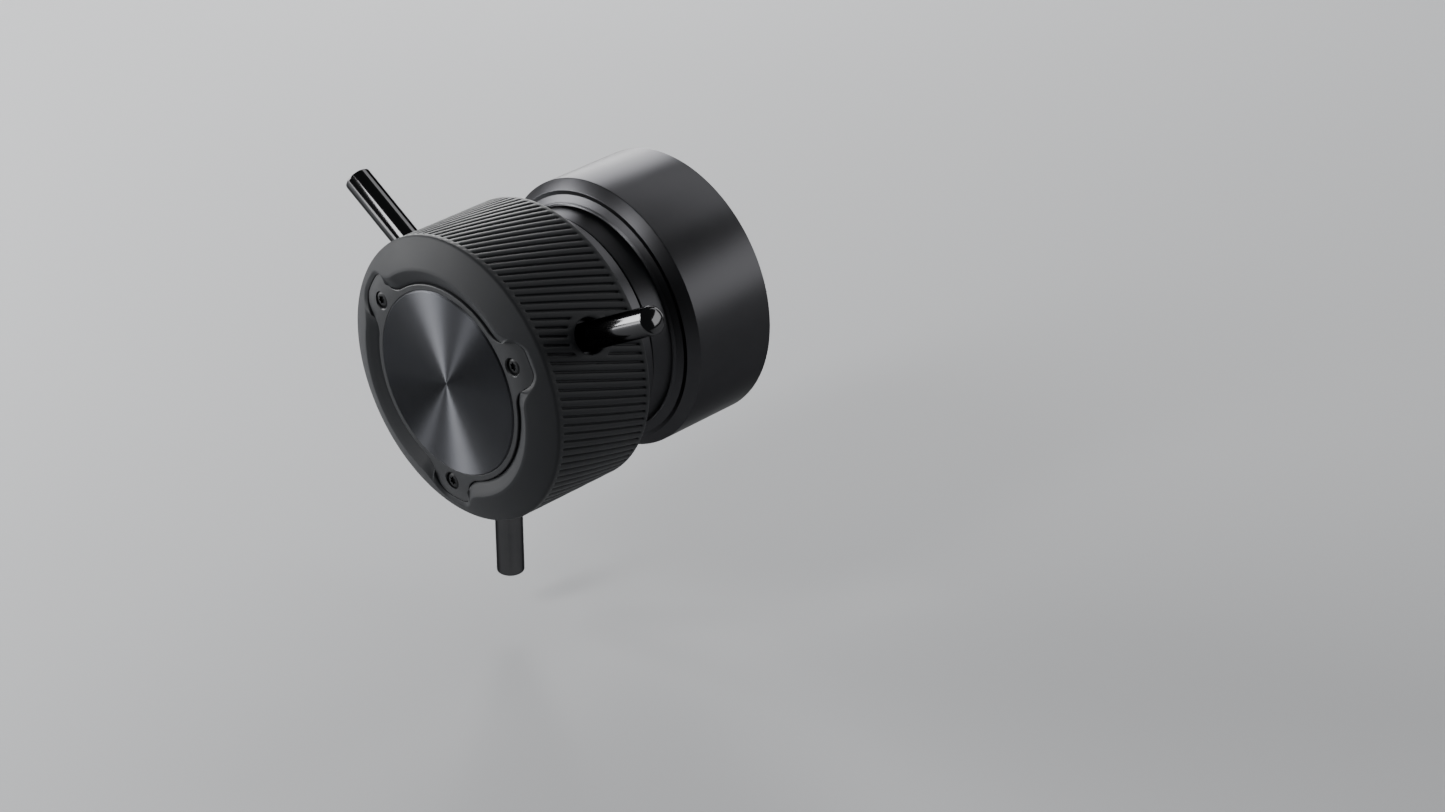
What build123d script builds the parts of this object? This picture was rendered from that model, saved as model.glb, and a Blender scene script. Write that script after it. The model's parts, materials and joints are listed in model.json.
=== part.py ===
from build123d import *
import math
import os

# Focus demand: a ribbed focus knob with three grip pegs, turning on a fixed drum that hangs on a rosette.
# Lengths are millimetres and angles are degrees. The knob turns about an axis along Y and faces -Y.
# The pieces are made with the knob's axis at x = z = 0 and the badge's front at y = 0. As they are
# written they are moved so that the origin is the mouth of the rosette's threaded bush.
# Angles about the axis run from +X towards +Z. An outline for a turned piece is (radius, y).

# Clearances, and one overrun for every cut
close_gap = 0.02
run_gap = 0.05
slip_gap = 0.1
clear_gap = 0.5
overrun = 2.0

# Grip sleeve: the moulded face ring and ribbed side
grip_radius = 41.6
grip_length = 38.2
lip_height = 0.9
face_width = 8.7
crown_radius = 14.0
crown_slope = 8.0
side_slope = 90.0
shoulder_radius = 4.2
grip_wall = 3.4
grip_hook_depth = 1.3
grip_edge_radius = 0.8
rib_count = 102
groove_width = 0.85
groove_depth = 0.8
groove_margin = 2.6
peg_hole_gap = 1.2
peg_pad_width = 2.5

# Badge, and the three-lobed plate that carries it
pocket_bevel_width = 4.26
badge_margin = 1.8
badge_thickness = 1.4
badge_bevel = 0.35
plate_setback = 0.35
plate_thickness = 3.05
plate_crown_radius = 23.0
lobe_count = 3
lobe_angle = 30.0
lobe_margin = 4.5
lobe_foot_width = 15.4
lobe_tip_width = 11.2
lobe_corner_radius = 2.6
lobe_foot_radius = 2.6
lobe_bevel_width = 1.5
lobe_bevel_depth = 0.9
plate_screw_margin = 6.0
counterbore_gap = 0.35
counterbore_depth = 0.55

# Hub that carries the sleeve, the plate and the pegs
hub_front_wall = 5.0
hub_wall = 6.6
hub_edge_chamfer = 0.6
skirt_wall = 2.5
skirt_length = 8.5
boss_wall = 2.0
boss_length = 3.6
hub_screw_count = 6
hub_screw_length = 9.0
washer_well_gap = 0.5
washer_well_depth = 3.2

# Grip pegs
peg_radius = 4.0
peg_axis_y = 20.86
peg_reach = 28.4
peg_dome_height = 0.45
peg_edge_radius = 0.35
peg_seat_depth = 1.6
peg_stud_radius = 2.5
peg_stud_cover = 0.4

# Shaft and what fastens the hub to it
shaft_radius = 5.0
spigot_gap = 0.3
shaft_collar_step = 4.0
shaft_collar_length = 3.0
shaft_shoulder_step = 1.4
shaft_shoulder_length = 2.0
shaft_tail_step = 1.0
shaft_tail_stand = 1.7
clip_width = 1.0
clip_depth = 0.5
clip_height = 1.9
clip_opening = 60.0
clip_land = 2.0
shaft_screw_radius = 2.0
shaft_screw_length = 12.0
shaft_screw_head_step = 1.5
shaft_screw_head_height = 1.9
washer_step = 2.5
washer_thickness = 1.0
pin_radius = 1.5
pin_cover = 0.3
pin_margin = 0.3

# Ball bearings
bearing_radius = 13.0
bearing_width = 8.0
ball_radius = 2.38
ball_count = 7
race_land = 1.5
cage_width = 5.8
cage_wall = 1.2

# Bearing housing, the fixed collar that shows behind the knob
tube_wall = 3.5
tube_lip = 0.8
bearing_ledge = 1.2
collar_step = 1.0
seam_gap = 0.9
collar_length = 7.67
collar_wall = 4.0
collar_foot_radius = 0.6
web_thickness = 4.8
clip_room = 2.5
labyrinth_length = 3.4
labyrinth_gap = 0.3
felt_width = 1.6
felt_depth = 1.4
flange_step = 3.4
flange_thickness = 3.0
flange_screw_count = 6
flange_screw_margin = 1.5

# Drum
drum_step = 7.0
drum_wall = 2.2
rim_bead = 0.5
dish_margin = 2.82
dish_ramp = 1.2
dish_drop = 1.21
drum_chamfer_length = 2.61
drum_length = 27.64
drum_edge_radius = 0.4
drum_front_wall = 3.0
cover_boss_radius = 3.6
cover_boss_margin = 3.0
cover_boss_length = 10.0
cover_screw_count = 4
cover_screw_angle = 45.0

# Encoder
encoder_margin = 7.0
encoder_thickness = 0.8
encoder_drop = 2.71
encoder_slots = 48
encoder_slot_width = 0.8
encoder_slot_length = 2.4
encoder_neck_wall = 2.0
encoder_flange_step = 2.0
encoder_hub_length = 5.5
encoder_flange_length = 2.0
grub_radius = 1.0
grub_angle = 90.0
sensor_width = 8.0
sensor_gap = 2.0
sensor_overlap = 5.0
sensor_wall = 1.4
sensor_slot_width = 2.4
board_thickness = 1.6
encoder_board_gap = 0.4
encoder_board_clearance = 2.0
board_screw_margin = 1.4
board_screw_count = 3
board_screw_angle = 90.0

# Main board, ribbon and rear parts
main_board_gap = 1.7
main_board_room = 6.23
pillar_radius = 3.0
pillar_margin = 3.5
pillar_count = 3
connector_width = 13.0
connector_height = 3.4
connector_depth = 2.0
connector_margin = 8.5
ribbon_width = 10.0
ribbon_thickness = 0.3
cover_thickness = 5.0
usb_width = 3.2
usb_length = 8.9
usb_wall = 0.35
usb_tongue = 0.7
usb_recess = 0.3
usb_margin = 7.5
usb_spacing = 15.6
button_radius = 3.0
button_stand = 1.4
button_flange_step = 1.2
button_flange_thickness = 1.0
button_stem_length = 1.3
button_travel = 0.8
button_margin = 3.5
switch_size = 6.0
plunger_stand = 0.48
plunger_radius = 1.6

# Rosette
rosette_room = 18.1
rosette_height = 7.67
rosette_margin = 6.1
tooth_count = 60
tooth_ring_gap = 4.5
tooth_depth = 1.0
tooth_land_share = 0.1
thread_radius = 2.5
bush_wall = 2.5
bush_flange_step = 2.0
bush_flange_thickness = 2.0
bush_recess = 1.4
rosette_screw_count = 4
rosette_screw_angle = 45.0

# Small screws: shank radius, head radius and head height of the two sizes used
small_shank_radius = 1.0
small_head_radius = 1.9
small_head_height = 1.4
screw_shank_radius = 1.25
screw_head_radius = 2.2
screw_head_height = 1.8
socket_share = 0.5
socket_depth_share = 0.6
thread_grip = 3.0

# Radii of the knob, from the sleeve inwards and outwards
lip_radius = grip_radius - face_width
plate_radius = lip_radius - pocket_bevel_width
badge_radius = plate_radius - badge_margin
lobe_tip_radius = grip_radius - lobe_margin
plate_screw_circle = lobe_tip_radius - plate_screw_margin
counterbore_radius = screw_head_radius + counterbore_gap
hub_radius = grip_radius - grip_wall - slip_gap
hub_inner_radius = hub_radius - hub_wall
hub_screw_circle = hub_radius - hub_wall / 2
skirt_radius = hub_inner_radius + skirt_wall
peg_tip_radius = grip_radius + peg_reach
peg_seat_radius = hub_radius - peg_seat_depth
peg_stud_length = peg_seat_radius - hub_inner_radius - peg_stud_cover
peg_hole_radius = peg_radius + peg_hole_gap
peg_pad_radius = peg_hole_radius + peg_pad_width

# Radii of the shaft and the bearings
shaft_collar_radius = shaft_radius + shaft_collar_step
shaft_shoulder_radius = shaft_radius + shaft_shoulder_step
shaft_tail_radius = shaft_radius - shaft_tail_step
clip_radius = shaft_radius + clip_height
boss_radius = shaft_collar_radius + boss_wall
washer_radius = shaft_radius + washer_step
washer_well_radius = washer_radius + washer_well_gap
shaft_screw_head_radius = shaft_screw_radius + shaft_screw_head_step
pin_offset = shaft_collar_radius - pin_margin - pin_radius
ball_circle_radius = (shaft_radius + bearing_radius) / 2
tube_radius = bearing_radius + tube_wall
rib_radius = bearing_radius - bearing_ledge

# Radii of the collar and the drum, which follow the skirt
collar_radius = skirt_radius - collar_step
collar_bore_radius = collar_radius - collar_wall
flange_radius = collar_radius + flange_step
flange_screw_circle = flange_radius - flange_screw_margin
drum_radius = collar_radius + drum_step
drum_inner_radius = drum_radius - drum_wall
dish_edge_radius = drum_radius - dish_margin
cover_boss_circle = drum_inner_radius - cover_boss_margin
cover_radius = drum_inner_radius - slip_gap

# Radii and places of what is inside the drum and on its rear
encoder_radius = collar_bore_radius - encoder_margin
encoder_neck_radius = shaft_tail_radius + encoder_neck_wall
encoder_flange_radius = encoder_neck_radius + encoder_flange_step
sensor_outer_radius = collar_bore_radius - sensor_gap
sensor_inner_radius = encoder_radius - sensor_overlap
encoder_board_radius = flange_screw_circle - screw_head_radius - encoder_board_gap
encoder_board_bore = encoder_flange_radius + encoder_board_clearance
board_screw_circle = encoder_board_radius - board_screw_margin
main_board_radius = cover_boss_circle - cover_boss_radius - main_board_gap
pillar_circle = main_board_radius - pillar_margin
connector_offset = main_board_radius - connector_margin
usb_offset = main_board_radius - usb_margin
button_height = main_board_radius - button_margin
button_flange_radius = button_radius + button_flange_step
bush_radius = thread_radius + bush_wall
bush_flange_radius = bush_radius + bush_flange_step
tooth_inner_radius = bush_radius + tooth_ring_gap
rosette_radius = cover_radius - rosette_room
rosette_offset = rosette_room - rosette_margin
rosette_screw_circle = (bush_flange_radius + rosette_radius) / 2

# Places along the axis, from the badge to the rosette
plate_back_y = plate_setback + plate_thickness
grip_rear_y = grip_length - lip_height
grip_hook_y = grip_rear_y - grip_hook_depth
hub_front_y = plate_back_y
hub_wall_back_y = hub_front_y + hub_front_wall
hub_screw_seat_y = hub_front_y + screw_head_height + slip_gap
boss_back_y = hub_wall_back_y + boss_length
washer_seat_y = hub_front_y + washer_well_depth
shaft_collar_back_y = boss_back_y + shaft_collar_length
front_bearing_y = shaft_collar_back_y + shaft_shoulder_length
tube_front_y = front_bearing_y - tube_lip
skirt_end_y = grip_rear_y + skirt_length
collar_front_y = skirt_end_y + seam_gap
web_back_y = collar_front_y + web_thickness
rear_bearing_y = web_back_y - clip_room - bearing_width
spacer_length = rear_bearing_y - front_bearing_y - bearing_width
clip_y = rear_bearing_y + bearing_width
tail_y = clip_y + clip_width + clip_land
rim_y = collar_front_y + collar_length
dish_y = rim_y + dish_drop
drum_chamfer_y = dish_y + drum_chamfer_length
drum_rear_y = drum_chamfer_y + drum_length
flange_y = drum_chamfer_y + close_gap
flange_back_y = flange_y + flange_thickness
encoder_y = flange_back_y - encoder_drop
encoder_hub_back_y = encoder_y + encoder_thickness + encoder_flange_length
encoder_hub_y = encoder_hub_back_y - encoder_hub_length
shaft_end_y = encoder_hub_back_y + shaft_tail_stand
encoder_board_back_y = flange_back_y + board_thickness
cover_y = drum_rear_y - cover_thickness
main_board_back_y = cover_y - main_board_room
main_board_y = main_board_back_y - board_thickness
rosette_tip_y = drum_rear_y + rosette_height
bush_mouth_y = rosette_tip_y - bush_recess
pin_length = 2 * (shaft_collar_length - pin_cover)

# Angles about the axis of what repeats
peg_angles = [lobe_angle + index * 360 / lobe_count for index in range(lobe_count)]
hub_angles = [index * 360 / hub_screw_count for index in range(hub_screw_count)]
flange_angles = [index * 360 / flange_screw_count for index in range(flange_screw_count)]
board_angles = [
    board_screw_angle + index * 360 / board_screw_count for index in range(board_screw_count)
]
pillar_angles = [index * 360 / pillar_count for index in range(pillar_count)]
cover_angles = [
    cover_screw_angle + index * 360 / cover_screw_count for index in range(cover_screw_count)
]
rosette_angles = [
    rosette_screw_angle + index * 360 / rosette_screw_count for index in range(rosette_screw_count)
]

# Arcs of the moulded face: the crown is tangent to the shoulder, and that to the ribbed side
crown_x = lip_radius - crown_radius * math.sin(math.radians(crown_slope))
crown_y = crown_radius * math.cos(math.radians(crown_slope)) - lip_height
shoulder_x = grip_radius - shoulder_radius
shoulder_slope = math.degrees(math.asin((shoulder_x - crown_x) / (crown_radius - shoulder_radius)))
shoulder_y = crown_y - (crown_radius - shoulder_radius) * math.cos(math.radians(shoulder_slope))
groove_front_y = shoulder_y
groove_rear_y = grip_rear_y - groove_margin


def front_plane(y):
    """Sketch plane square to the knob's axis, seen from the front, with X right and Z up."""
    return Plane(origin=(0, y, 0), x_dir=(1, 0, 0), z_dir=(0, -1, 0))


def radial_plane(radius, angle, y):
    """Sketch plane on a radius of the knob, facing outwards, with its first axis along Y."""
    across = math.cos(math.radians(angle))
    up = math.sin(math.radians(angle))
    return Plane(origin=(radius * across, y, radius * up), x_dir=(0, 1, 0), z_dir=(across, 0, up))


def arc_point(centre_x, centre_y, radius, slope):
    """Point of an arc whose tangent has the given slope, on the arc's front side."""
    turn = math.radians(slope)
    return (centre_x + radius * math.sin(turn), centre_y - radius * math.cos(turn))


def turned(*lines):
    """Solid turned about the knob's axis from a closed outline of edges."""
    return revolve(make_face(Curve() + list(lines)), Axis.Y)


def turned_outline(*corners):
    """Solid turned about the knob's axis from straight-sided corners."""
    return revolve(make_face(Polyline(*corners, close=True)), Axis.Y)


def slab(sketch, front_y, back_y):
    """Solid between two planes square to the axis, from a sketch seen from the front."""
    return extrude(front_plane(front_y) * sketch, amount=front_y - back_y)


def rod(radius, front_y, back_y, x=0, z=0):
    """Round bar along the axis."""
    return slab(Pos(x, z) * Circle(radius), front_y, back_y)


def tube(outer, inner, front_y, back_y, x=0, z=0):
    """Round tube along the axis."""
    return slab(Pos(x, z) * (Circle(outer) - Circle(inner)), front_y, back_y)


def polar(radius, angle):
    """Point at a radius and angle about the axis, as x and z."""
    return (radius * math.cos(math.radians(angle)), radius * math.sin(math.radians(angle)))


def circle_edges(shape, radius, y):
    """Edges of a turned piece that lie at one radius and one place along the axis."""
    round_edges = shape.edges().filter_by(GeomType.CIRCLE)
    at_radius = round_edges.filter_by(lambda edge: abs(edge.radius - radius) < close_gap / 2)
    return at_radius.filter_by(lambda edge: abs(edge.center(CenterOf.MASS).Y - y) < close_gap / 2)


def join(pieces):
    """Group of separate solids for one node."""
    return Compound(children=[solid for piece in pieces for solid in piece.solids()])


def cut_holes(piece, radius, circle, angles, front_y, back_y):
    """Piece with round holes along the axis, on a circle about it."""
    for angle in angles:
        piece -= rod(radius, front_y, back_y, *polar(circle, angle))
    return piece


def screw(head_radius, head_height, shank_radius, length, head_y, x, z, facing):
    """Cap screw with a hexagon socket; its head seats at head_y and faces -Y for 1 or +Y for -1."""
    head_end = head_y - facing * head_height
    head = rod(head_radius, min(head_y, head_end), max(head_y, head_end), x, z)
    shank_end = head_y + facing * length
    shank = rod(shank_radius, min(head_y, shank_end), max(head_y, shank_end), x, z)
    socket_end = head_end + facing * head_height * socket_depth_share
    hexagon = Pos(x, z) * RegularPolygon(head_radius * socket_share, 6)
    return head + shank - slab(hexagon, min(head_end, socket_end), max(head_end, socket_end))


def lobed_outline(gap):
    """Outline of the badge plate, a disc with three tabs, grown by a gap all round."""
    tip = lobe_tip_radius + gap
    base = plate_radius * math.cos(math.asin(lobe_foot_width / 2 / plate_radius))
    half_foot = lobe_foot_width / 2 + gap
    half_tip = lobe_tip_width / 2 + gap
    tab = make_face(
        Polyline(
            (0, -half_foot),
            (base, -half_foot),
            (tip, -half_tip),
            (tip, half_tip),
            (base, half_foot),
            (0, half_foot),
            close=True,
        )
    )
    outline = Circle(plate_radius + gap)
    for angle in peg_angles:
        outline += Rot(Z=angle) * (tab & Circle(tip))
    corners = outline.vertices().filter_by(lambda v: abs(math.hypot(v.X, v.Y) - tip) < clear_gap)
    outline = fillet(corners, lobe_corner_radius + gap)
    feet = outline.vertices().filter_by(
        lambda v: abs(math.hypot(v.X, v.Y) - plate_radius - gap) < close_gap
    )
    return fillet(feet, lobe_foot_radius - gap)


def grip_body():
    """Turned form of the moulded sleeve, before its pocket, ribs and peg holes are cut."""
    inner_slope = -math.degrees(math.asin((crown_x - badge_radius) / crown_radius))
    inner = arc_point(crown_x, crown_y, crown_radius, inner_slope)
    crest = arc_point(crown_x, crown_y, crown_radius, 0)
    joint = arc_point(crown_x, crown_y, crown_radius, shoulder_slope)
    bend = arc_point(shoulder_x, shoulder_y, shoulder_radius, (shoulder_slope + side_slope) / 2)
    side = (grip_radius, shoulder_y)
    rear = grip_radius - grip_edge_radius
    edge_y = grip_rear_y - grip_edge_radius
    turn = grip_edge_radius * math.sqrt(0.5)
    bore = hub_radius + slip_gap
    hook = skirt_radius + slip_gap
    return turned(
        ThreePointArc(inner, crest, joint),
        ThreePointArc(joint, bend, side),
        Line(side, (grip_radius, edge_y)),
        ThreePointArc((grip_radius, edge_y), (rear + turn, edge_y + turn), (rear, grip_rear_y)),
        Polyline(
            (rear, grip_rear_y),
            (hook, grip_rear_y),
            (hook, grip_hook_y),
            (bore, grip_hook_y),
            (bore, hub_front_y),
            (badge_radius, hub_front_y),
            inner,
        ),
    )


def grip_grooves():
    """The narrow grooves of the ribbed side, stopped short round each peg's pad."""
    length = groove_rear_y - groove_front_y
    cutters = []
    for index in range(rib_count):
        plane = radial_plane(
            grip_radius - groove_depth,
            lobe_angle + index * 360 / rib_count,
            groove_front_y + length / 2,
        )
        cutters.append(
            extrude(plane * Rectangle(length, groove_width), amount=groove_depth + overrun)
        )
    pads = [
        extrude(
            radial_plane(grip_radius / 2, angle, peg_axis_y) * Circle(peg_pad_radius),
            amount=grip_radius,
        )
        for angle in peg_angles
    ]
    return Part() + [cutter - pads for cutter in cutters]


def grip_sleeve():
    """Moulded sleeve: crowned face ring with the plate's bevelled pocket, ribbed side, peg holes."""
    sleeve = grip_body()
    sleeve -= slab(lobed_outline(slip_gap), -lip_height - overrun, hub_front_y + overrun)
    crown = sleeve.faces().filter_by(GeomType.TORUS).sort_by(Axis.Y)[0]
    reach = lobe_tip_radius + clear_gap
    rim = crown.edges().filter_by(lambda e: max(math.hypot(v.X, v.Z) for v in e.vertices()) < reach)
    sleeve = chamfer(rim, lobe_bevel_width, lobe_bevel_depth, reference=crown)
    band = Polyline(
        (plate_radius, plate_setback),
        (lip_radius, -lip_height),
        (lip_radius, -lip_height - overrun),
        (0, -lip_height - overrun),
        (0, plate_setback),
        close=True,
    )
    sleeve -= revolve(make_face(band), Axis.Y)
    sleeve -= grip_grooves()
    for angle in peg_angles:
        sleeve -= extrude(
            radial_plane(grip_radius / 2, angle, peg_axis_y) * Circle(peg_hole_radius),
            amount=grip_radius,
        )
    return sleeve


def plate_crown():
    """Space behind the plate's crowned front, which falls away outside the badge."""
    reach = lobe_tip_radius + overrun
    drop = math.degrees(math.asin((reach - plate_radius) / plate_crown_radius))
    centre_y = plate_setback + plate_crown_radius
    start = (plate_radius, plate_setback)
    middle = arc_point(plate_radius, centre_y, plate_crown_radius, drop / 2)
    end = arc_point(plate_radius, centre_y, plate_crown_radius, drop)
    back = (reach, plate_back_y)
    return turned(
        Line((0, plate_setback), start),
        ThreePointArc(start, middle, end),
        Polyline(end, back, (0, plate_back_y), (0, plate_setback)),
    )


def badge_carrier():
    """Three-lobed plate: a seat for the badge, crowned lobes and counterbored screw holes."""
    plate = slab(lobed_outline(0), plate_setback - overrun, plate_back_y) & plate_crown()
    plate -= rod(badge_radius + slip_gap, plate_setback - overrun, badge_thickness)
    seat_y = plate_setback + counterbore_depth
    plate = cut_holes(
        plate,
        counterbore_radius,
        plate_screw_circle,
        peg_angles,
        plate_setback - overrun,
        carrier_seat_y(),
    )
    plate = cut_holes(
        plate,
        screw_shank_radius + slip_gap,
        plate_screw_circle,
        peg_angles,
        seat_y,
        plate_back_y + overrun,
    )
    return plate


def carrier_seat_y():
    """Place of the flat that each plate screw's head seats on."""
    return plate_setback + counterbore_depth + screw_head_height / 2


def badge_disc():
    """Turned badge, a bare disc with a fine bevel."""
    disc = rod(badge_radius, 0, badge_thickness - close_gap)
    return chamfer(circle_edges(disc, badge_radius, 0), badge_bevel)


def carrier_screws():
    """Three screws that hold the plate to the hub."""
    length = hub_wall_back_y - carrier_seat_y() - clear_gap
    return join(
        [
            screw(
                screw_head_radius,
                screw_head_height / 2,
                screw_shank_radius,
                length,
                carrier_seat_y(),
                *polar(plate_screw_circle, angle),
                1,
            )
            for angle in peg_angles
        ]
    )


def hub_face():
    """Front wall of the hub, with the boss that takes the shaft and the plate screws' holes."""
    face = turned_outline(
        (0, hub_front_y),
        (hub_radius - hub_edge_chamfer, hub_front_y),
        (hub_radius, hub_front_y + hub_edge_chamfer),
        (hub_radius, hub_wall_back_y - close_gap),
        (boss_radius, hub_wall_back_y - close_gap),
        (boss_radius, boss_back_y),
        (0, boss_back_y),
    )
    front = hub_front_y - overrun
    back = hub_wall_back_y + overrun
    face -= rod(washer_well_radius, front, washer_seat_y)
    face -= rod(shaft_radius + close_gap, washer_seat_y - overrun, boss_back_y + overrun)
    face -= rod(
        pin_radius + close_gap, boss_back_y - pin_length / 2, boss_back_y + overrun, pin_offset
    )
    face = cut_holes(face, screw_shank_radius, plate_screw_circle, peg_angles, front, back)
    head_radius = screw_head_radius + slip_gap
    shank_radius = screw_shank_radius + slip_gap
    face = cut_holes(face, head_radius, hub_screw_circle, hub_angles, front, hub_screw_seat_y)
    return cut_holes(face, shank_radius, hub_screw_circle, hub_angles, front, back)


def knob_hub():
    """Barrel of the hub: the wall with the peg seats, and the rear skirt."""
    hub = turned_outline(
        (hub_inner_radius, hub_wall_back_y),
        (hub_radius, hub_wall_back_y),
        (hub_radius, grip_hook_y - close_gap),
        (skirt_radius, grip_hook_y - close_gap),
        (skirt_radius, skirt_end_y),
        (hub_inner_radius, skirt_end_y),
    )
    hole_end_y = hub_screw_seat_y + hub_screw_length + clear_gap
    front = hub_wall_back_y - overrun
    hub = cut_holes(hub, screw_shank_radius, hub_screw_circle, hub_angles, front, hole_end_y)
    for angle in peg_angles:
        seat = radial_plane(peg_seat_radius, angle, peg_axis_y)
        hub -= extrude(seat * Circle(peg_radius + slip_gap), amount=hub_radius)
        hub -= extrude(
            seat * Circle(peg_stud_radius + close_gap),
            amount=hub_inner_radius - peg_seat_radius - overrun,
        )
    return hub


def hub_screws():
    """Six screws, sunk in the hub's face, that hold it to the barrel."""
    return join(
        [
            screw(
                screw_head_radius,
                screw_head_height,
                screw_shank_radius - close_gap,
                hub_screw_length,
                hub_screw_seat_y,
                *polar(hub_screw_circle, angle),
                1,
            )
            for angle in hub_angles
        ]
    )


def grip_peg(angle):
    """Polished peg with a low domed end and a stud that screws into the hub."""
    tip = peg_tip_radius - peg_seat_radius
    shoulder = tip - peg_dome_height
    flat = peg_radius - peg_edge_radius
    middle = (
        peg_radius - peg_edge_radius + peg_edge_radius * math.sqrt(0.5),
        shoulder - peg_edge_radius + peg_edge_radius * math.sqrt(0.5),
    )
    dome_radius = (flat * flat + peg_dome_height * peg_dome_height) / (2 * peg_dome_height)
    half = math.asin(flat / dome_radius) / 2
    crest = (dome_radius * math.sin(half), tip - dome_radius * (1 - math.cos(half)))
    outline = Curve() + [
        ThreePointArc((0, tip), crest, (flat, shoulder)),
        ThreePointArc((flat, shoulder), middle, (peg_radius, shoulder - peg_edge_radius)),
        Polyline(
            (peg_radius, shoulder - peg_edge_radius),
            (peg_radius, close_gap),
            (peg_stud_radius, close_gap),
            (peg_stud_radius, -peg_stud_length),
            (0, -peg_stud_length),
            (0, tip),
        ),
    ]
    peg = revolve(make_face(Plane.XZ * outline), Axis.Z)
    return radial_plane(peg_seat_radius, angle, peg_axis_y).location * peg


def knob_shaft():
    """Stepped shaft: spigot, drive collar, bearing seats, clip groove and encoder tail."""
    spigot_y = washer_seat_y + spigot_gap
    shaft = turned_outline(
        (0, spigot_y),
        (shaft_radius, spigot_y),
        (shaft_radius, boss_back_y + close_gap),
        (shaft_collar_radius, boss_back_y + close_gap),
        (shaft_collar_radius, shaft_collar_back_y),
        (shaft_shoulder_radius, shaft_collar_back_y),
        (shaft_shoulder_radius, front_bearing_y - close_gap),
        (shaft_radius, front_bearing_y - close_gap),
        (shaft_radius, clip_y),
        (shaft_radius - clip_depth, clip_y),
        (shaft_radius - clip_depth, clip_y + clip_width),
        (shaft_radius, clip_y + clip_width),
        (shaft_radius, tail_y),
        (shaft_tail_radius, tail_y),
        (shaft_tail_radius, shaft_end_y),
        (0, shaft_end_y),
    )
    shaft -= rod(
        shaft_screw_radius, spigot_y - overrun, washer_seat_y + shaft_screw_length + overrun
    )
    return shaft - rod(
        pin_radius + close_gap, boss_back_y - overrun, boss_back_y + pin_length / 2, pin_offset
    )


def shaft_washer():
    """Thick washer under the shaft screw's head."""
    return tube(
        washer_radius,
        shaft_screw_radius + slip_gap,
        washer_seat_y - washer_thickness,
        washer_seat_y - close_gap,
    )


def shaft_screw():
    """Screw that clamps the hub to the shaft."""
    head_y = washer_seat_y - washer_thickness - close_gap
    return screw(
        shaft_screw_head_radius,
        shaft_screw_head_height,
        shaft_screw_radius - close_gap,
        shaft_screw_length,
        head_y,
        0,
        0,
        1,
    )


def drive_pin():
    """Dowel that keeps the hub from slipping round the shaft."""
    return rod(
        pin_radius,
        boss_back_y - pin_length / 2 + close_gap,
        boss_back_y + pin_length / 2 - close_gap,
        pin_offset,
    )


def shaft_clip():
    """Open spring ring behind the rear bearing."""
    ring = tube(
        clip_radius,
        shaft_radius - clip_depth + close_gap,
        clip_y + close_gap,
        clip_y + clip_width - close_gap,
    )
    half = math.radians(clip_opening / 2)
    reach = clip_radius + overrun
    wedge = make_face(
        Polyline(
            (0, 0),
            (reach * math.sin(-half), reach * math.cos(half)),
            (reach * math.sin(half), reach * math.cos(half)),
            close=True,
        )
    )
    return ring - slab(wedge, clip_y - overrun, clip_y + clip_width + overrun)


def race(inner, outer, front_y):
    """Bearing ring with the ball groove turned into it."""
    ring = tube(outer, inner, front_y, front_y + bearing_width)
    middle_y = front_y + bearing_width / 2
    groove = Pos(ball_circle_radius, middle_y) * Circle(ball_radius + close_gap)
    return ring - revolve(groove, Axis.Y)


def ball_places(front_y):
    """Centre of each ball of a bearing."""
    step = 360 / ball_count
    for index in range(ball_count):
        x, z = polar(ball_circle_radius, index * step)
        yield Pos(x, front_y + bearing_width / 2, z)


def cage(front_y):
    """Ring with a pocket for each ball."""
    start = front_y + (bearing_width - cage_width) / 2
    ring = tube(
        ball_circle_radius + cage_wall / 2,
        ball_circle_radius - cage_wall / 2,
        start,
        start + cage_width,
    )
    for index in range(ball_count):
        pocket = radial_plane(
            ball_circle_radius / 2, index * 360 / ball_count, front_y + bearing_width / 2
        )
        ring -= extrude(pocket * Circle(ball_radius + run_gap), amount=ball_circle_radius)
    return ring


def bearing(front_y):
    """The four pieces of one ball bearing, by name."""
    return {
        "inner_race": race(shaft_radius + close_gap / 2, ball_circle_radius - race_land, front_y),
        "outer_race": race(ball_circle_radius + race_land, bearing_radius, front_y),
        "balls": join([place * Sphere(ball_radius) for place in ball_places(front_y)]),
        "cage": cage(front_y),
    }


def bearing_spacer():
    """Tube that holds the inner races apart."""
    start = front_bearing_y + bearing_width
    return tube(
        shaft_shoulder_radius,
        shaft_radius + run_gap,
        start + close_gap,
        start + spacer_length - close_gap,
    )


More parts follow.
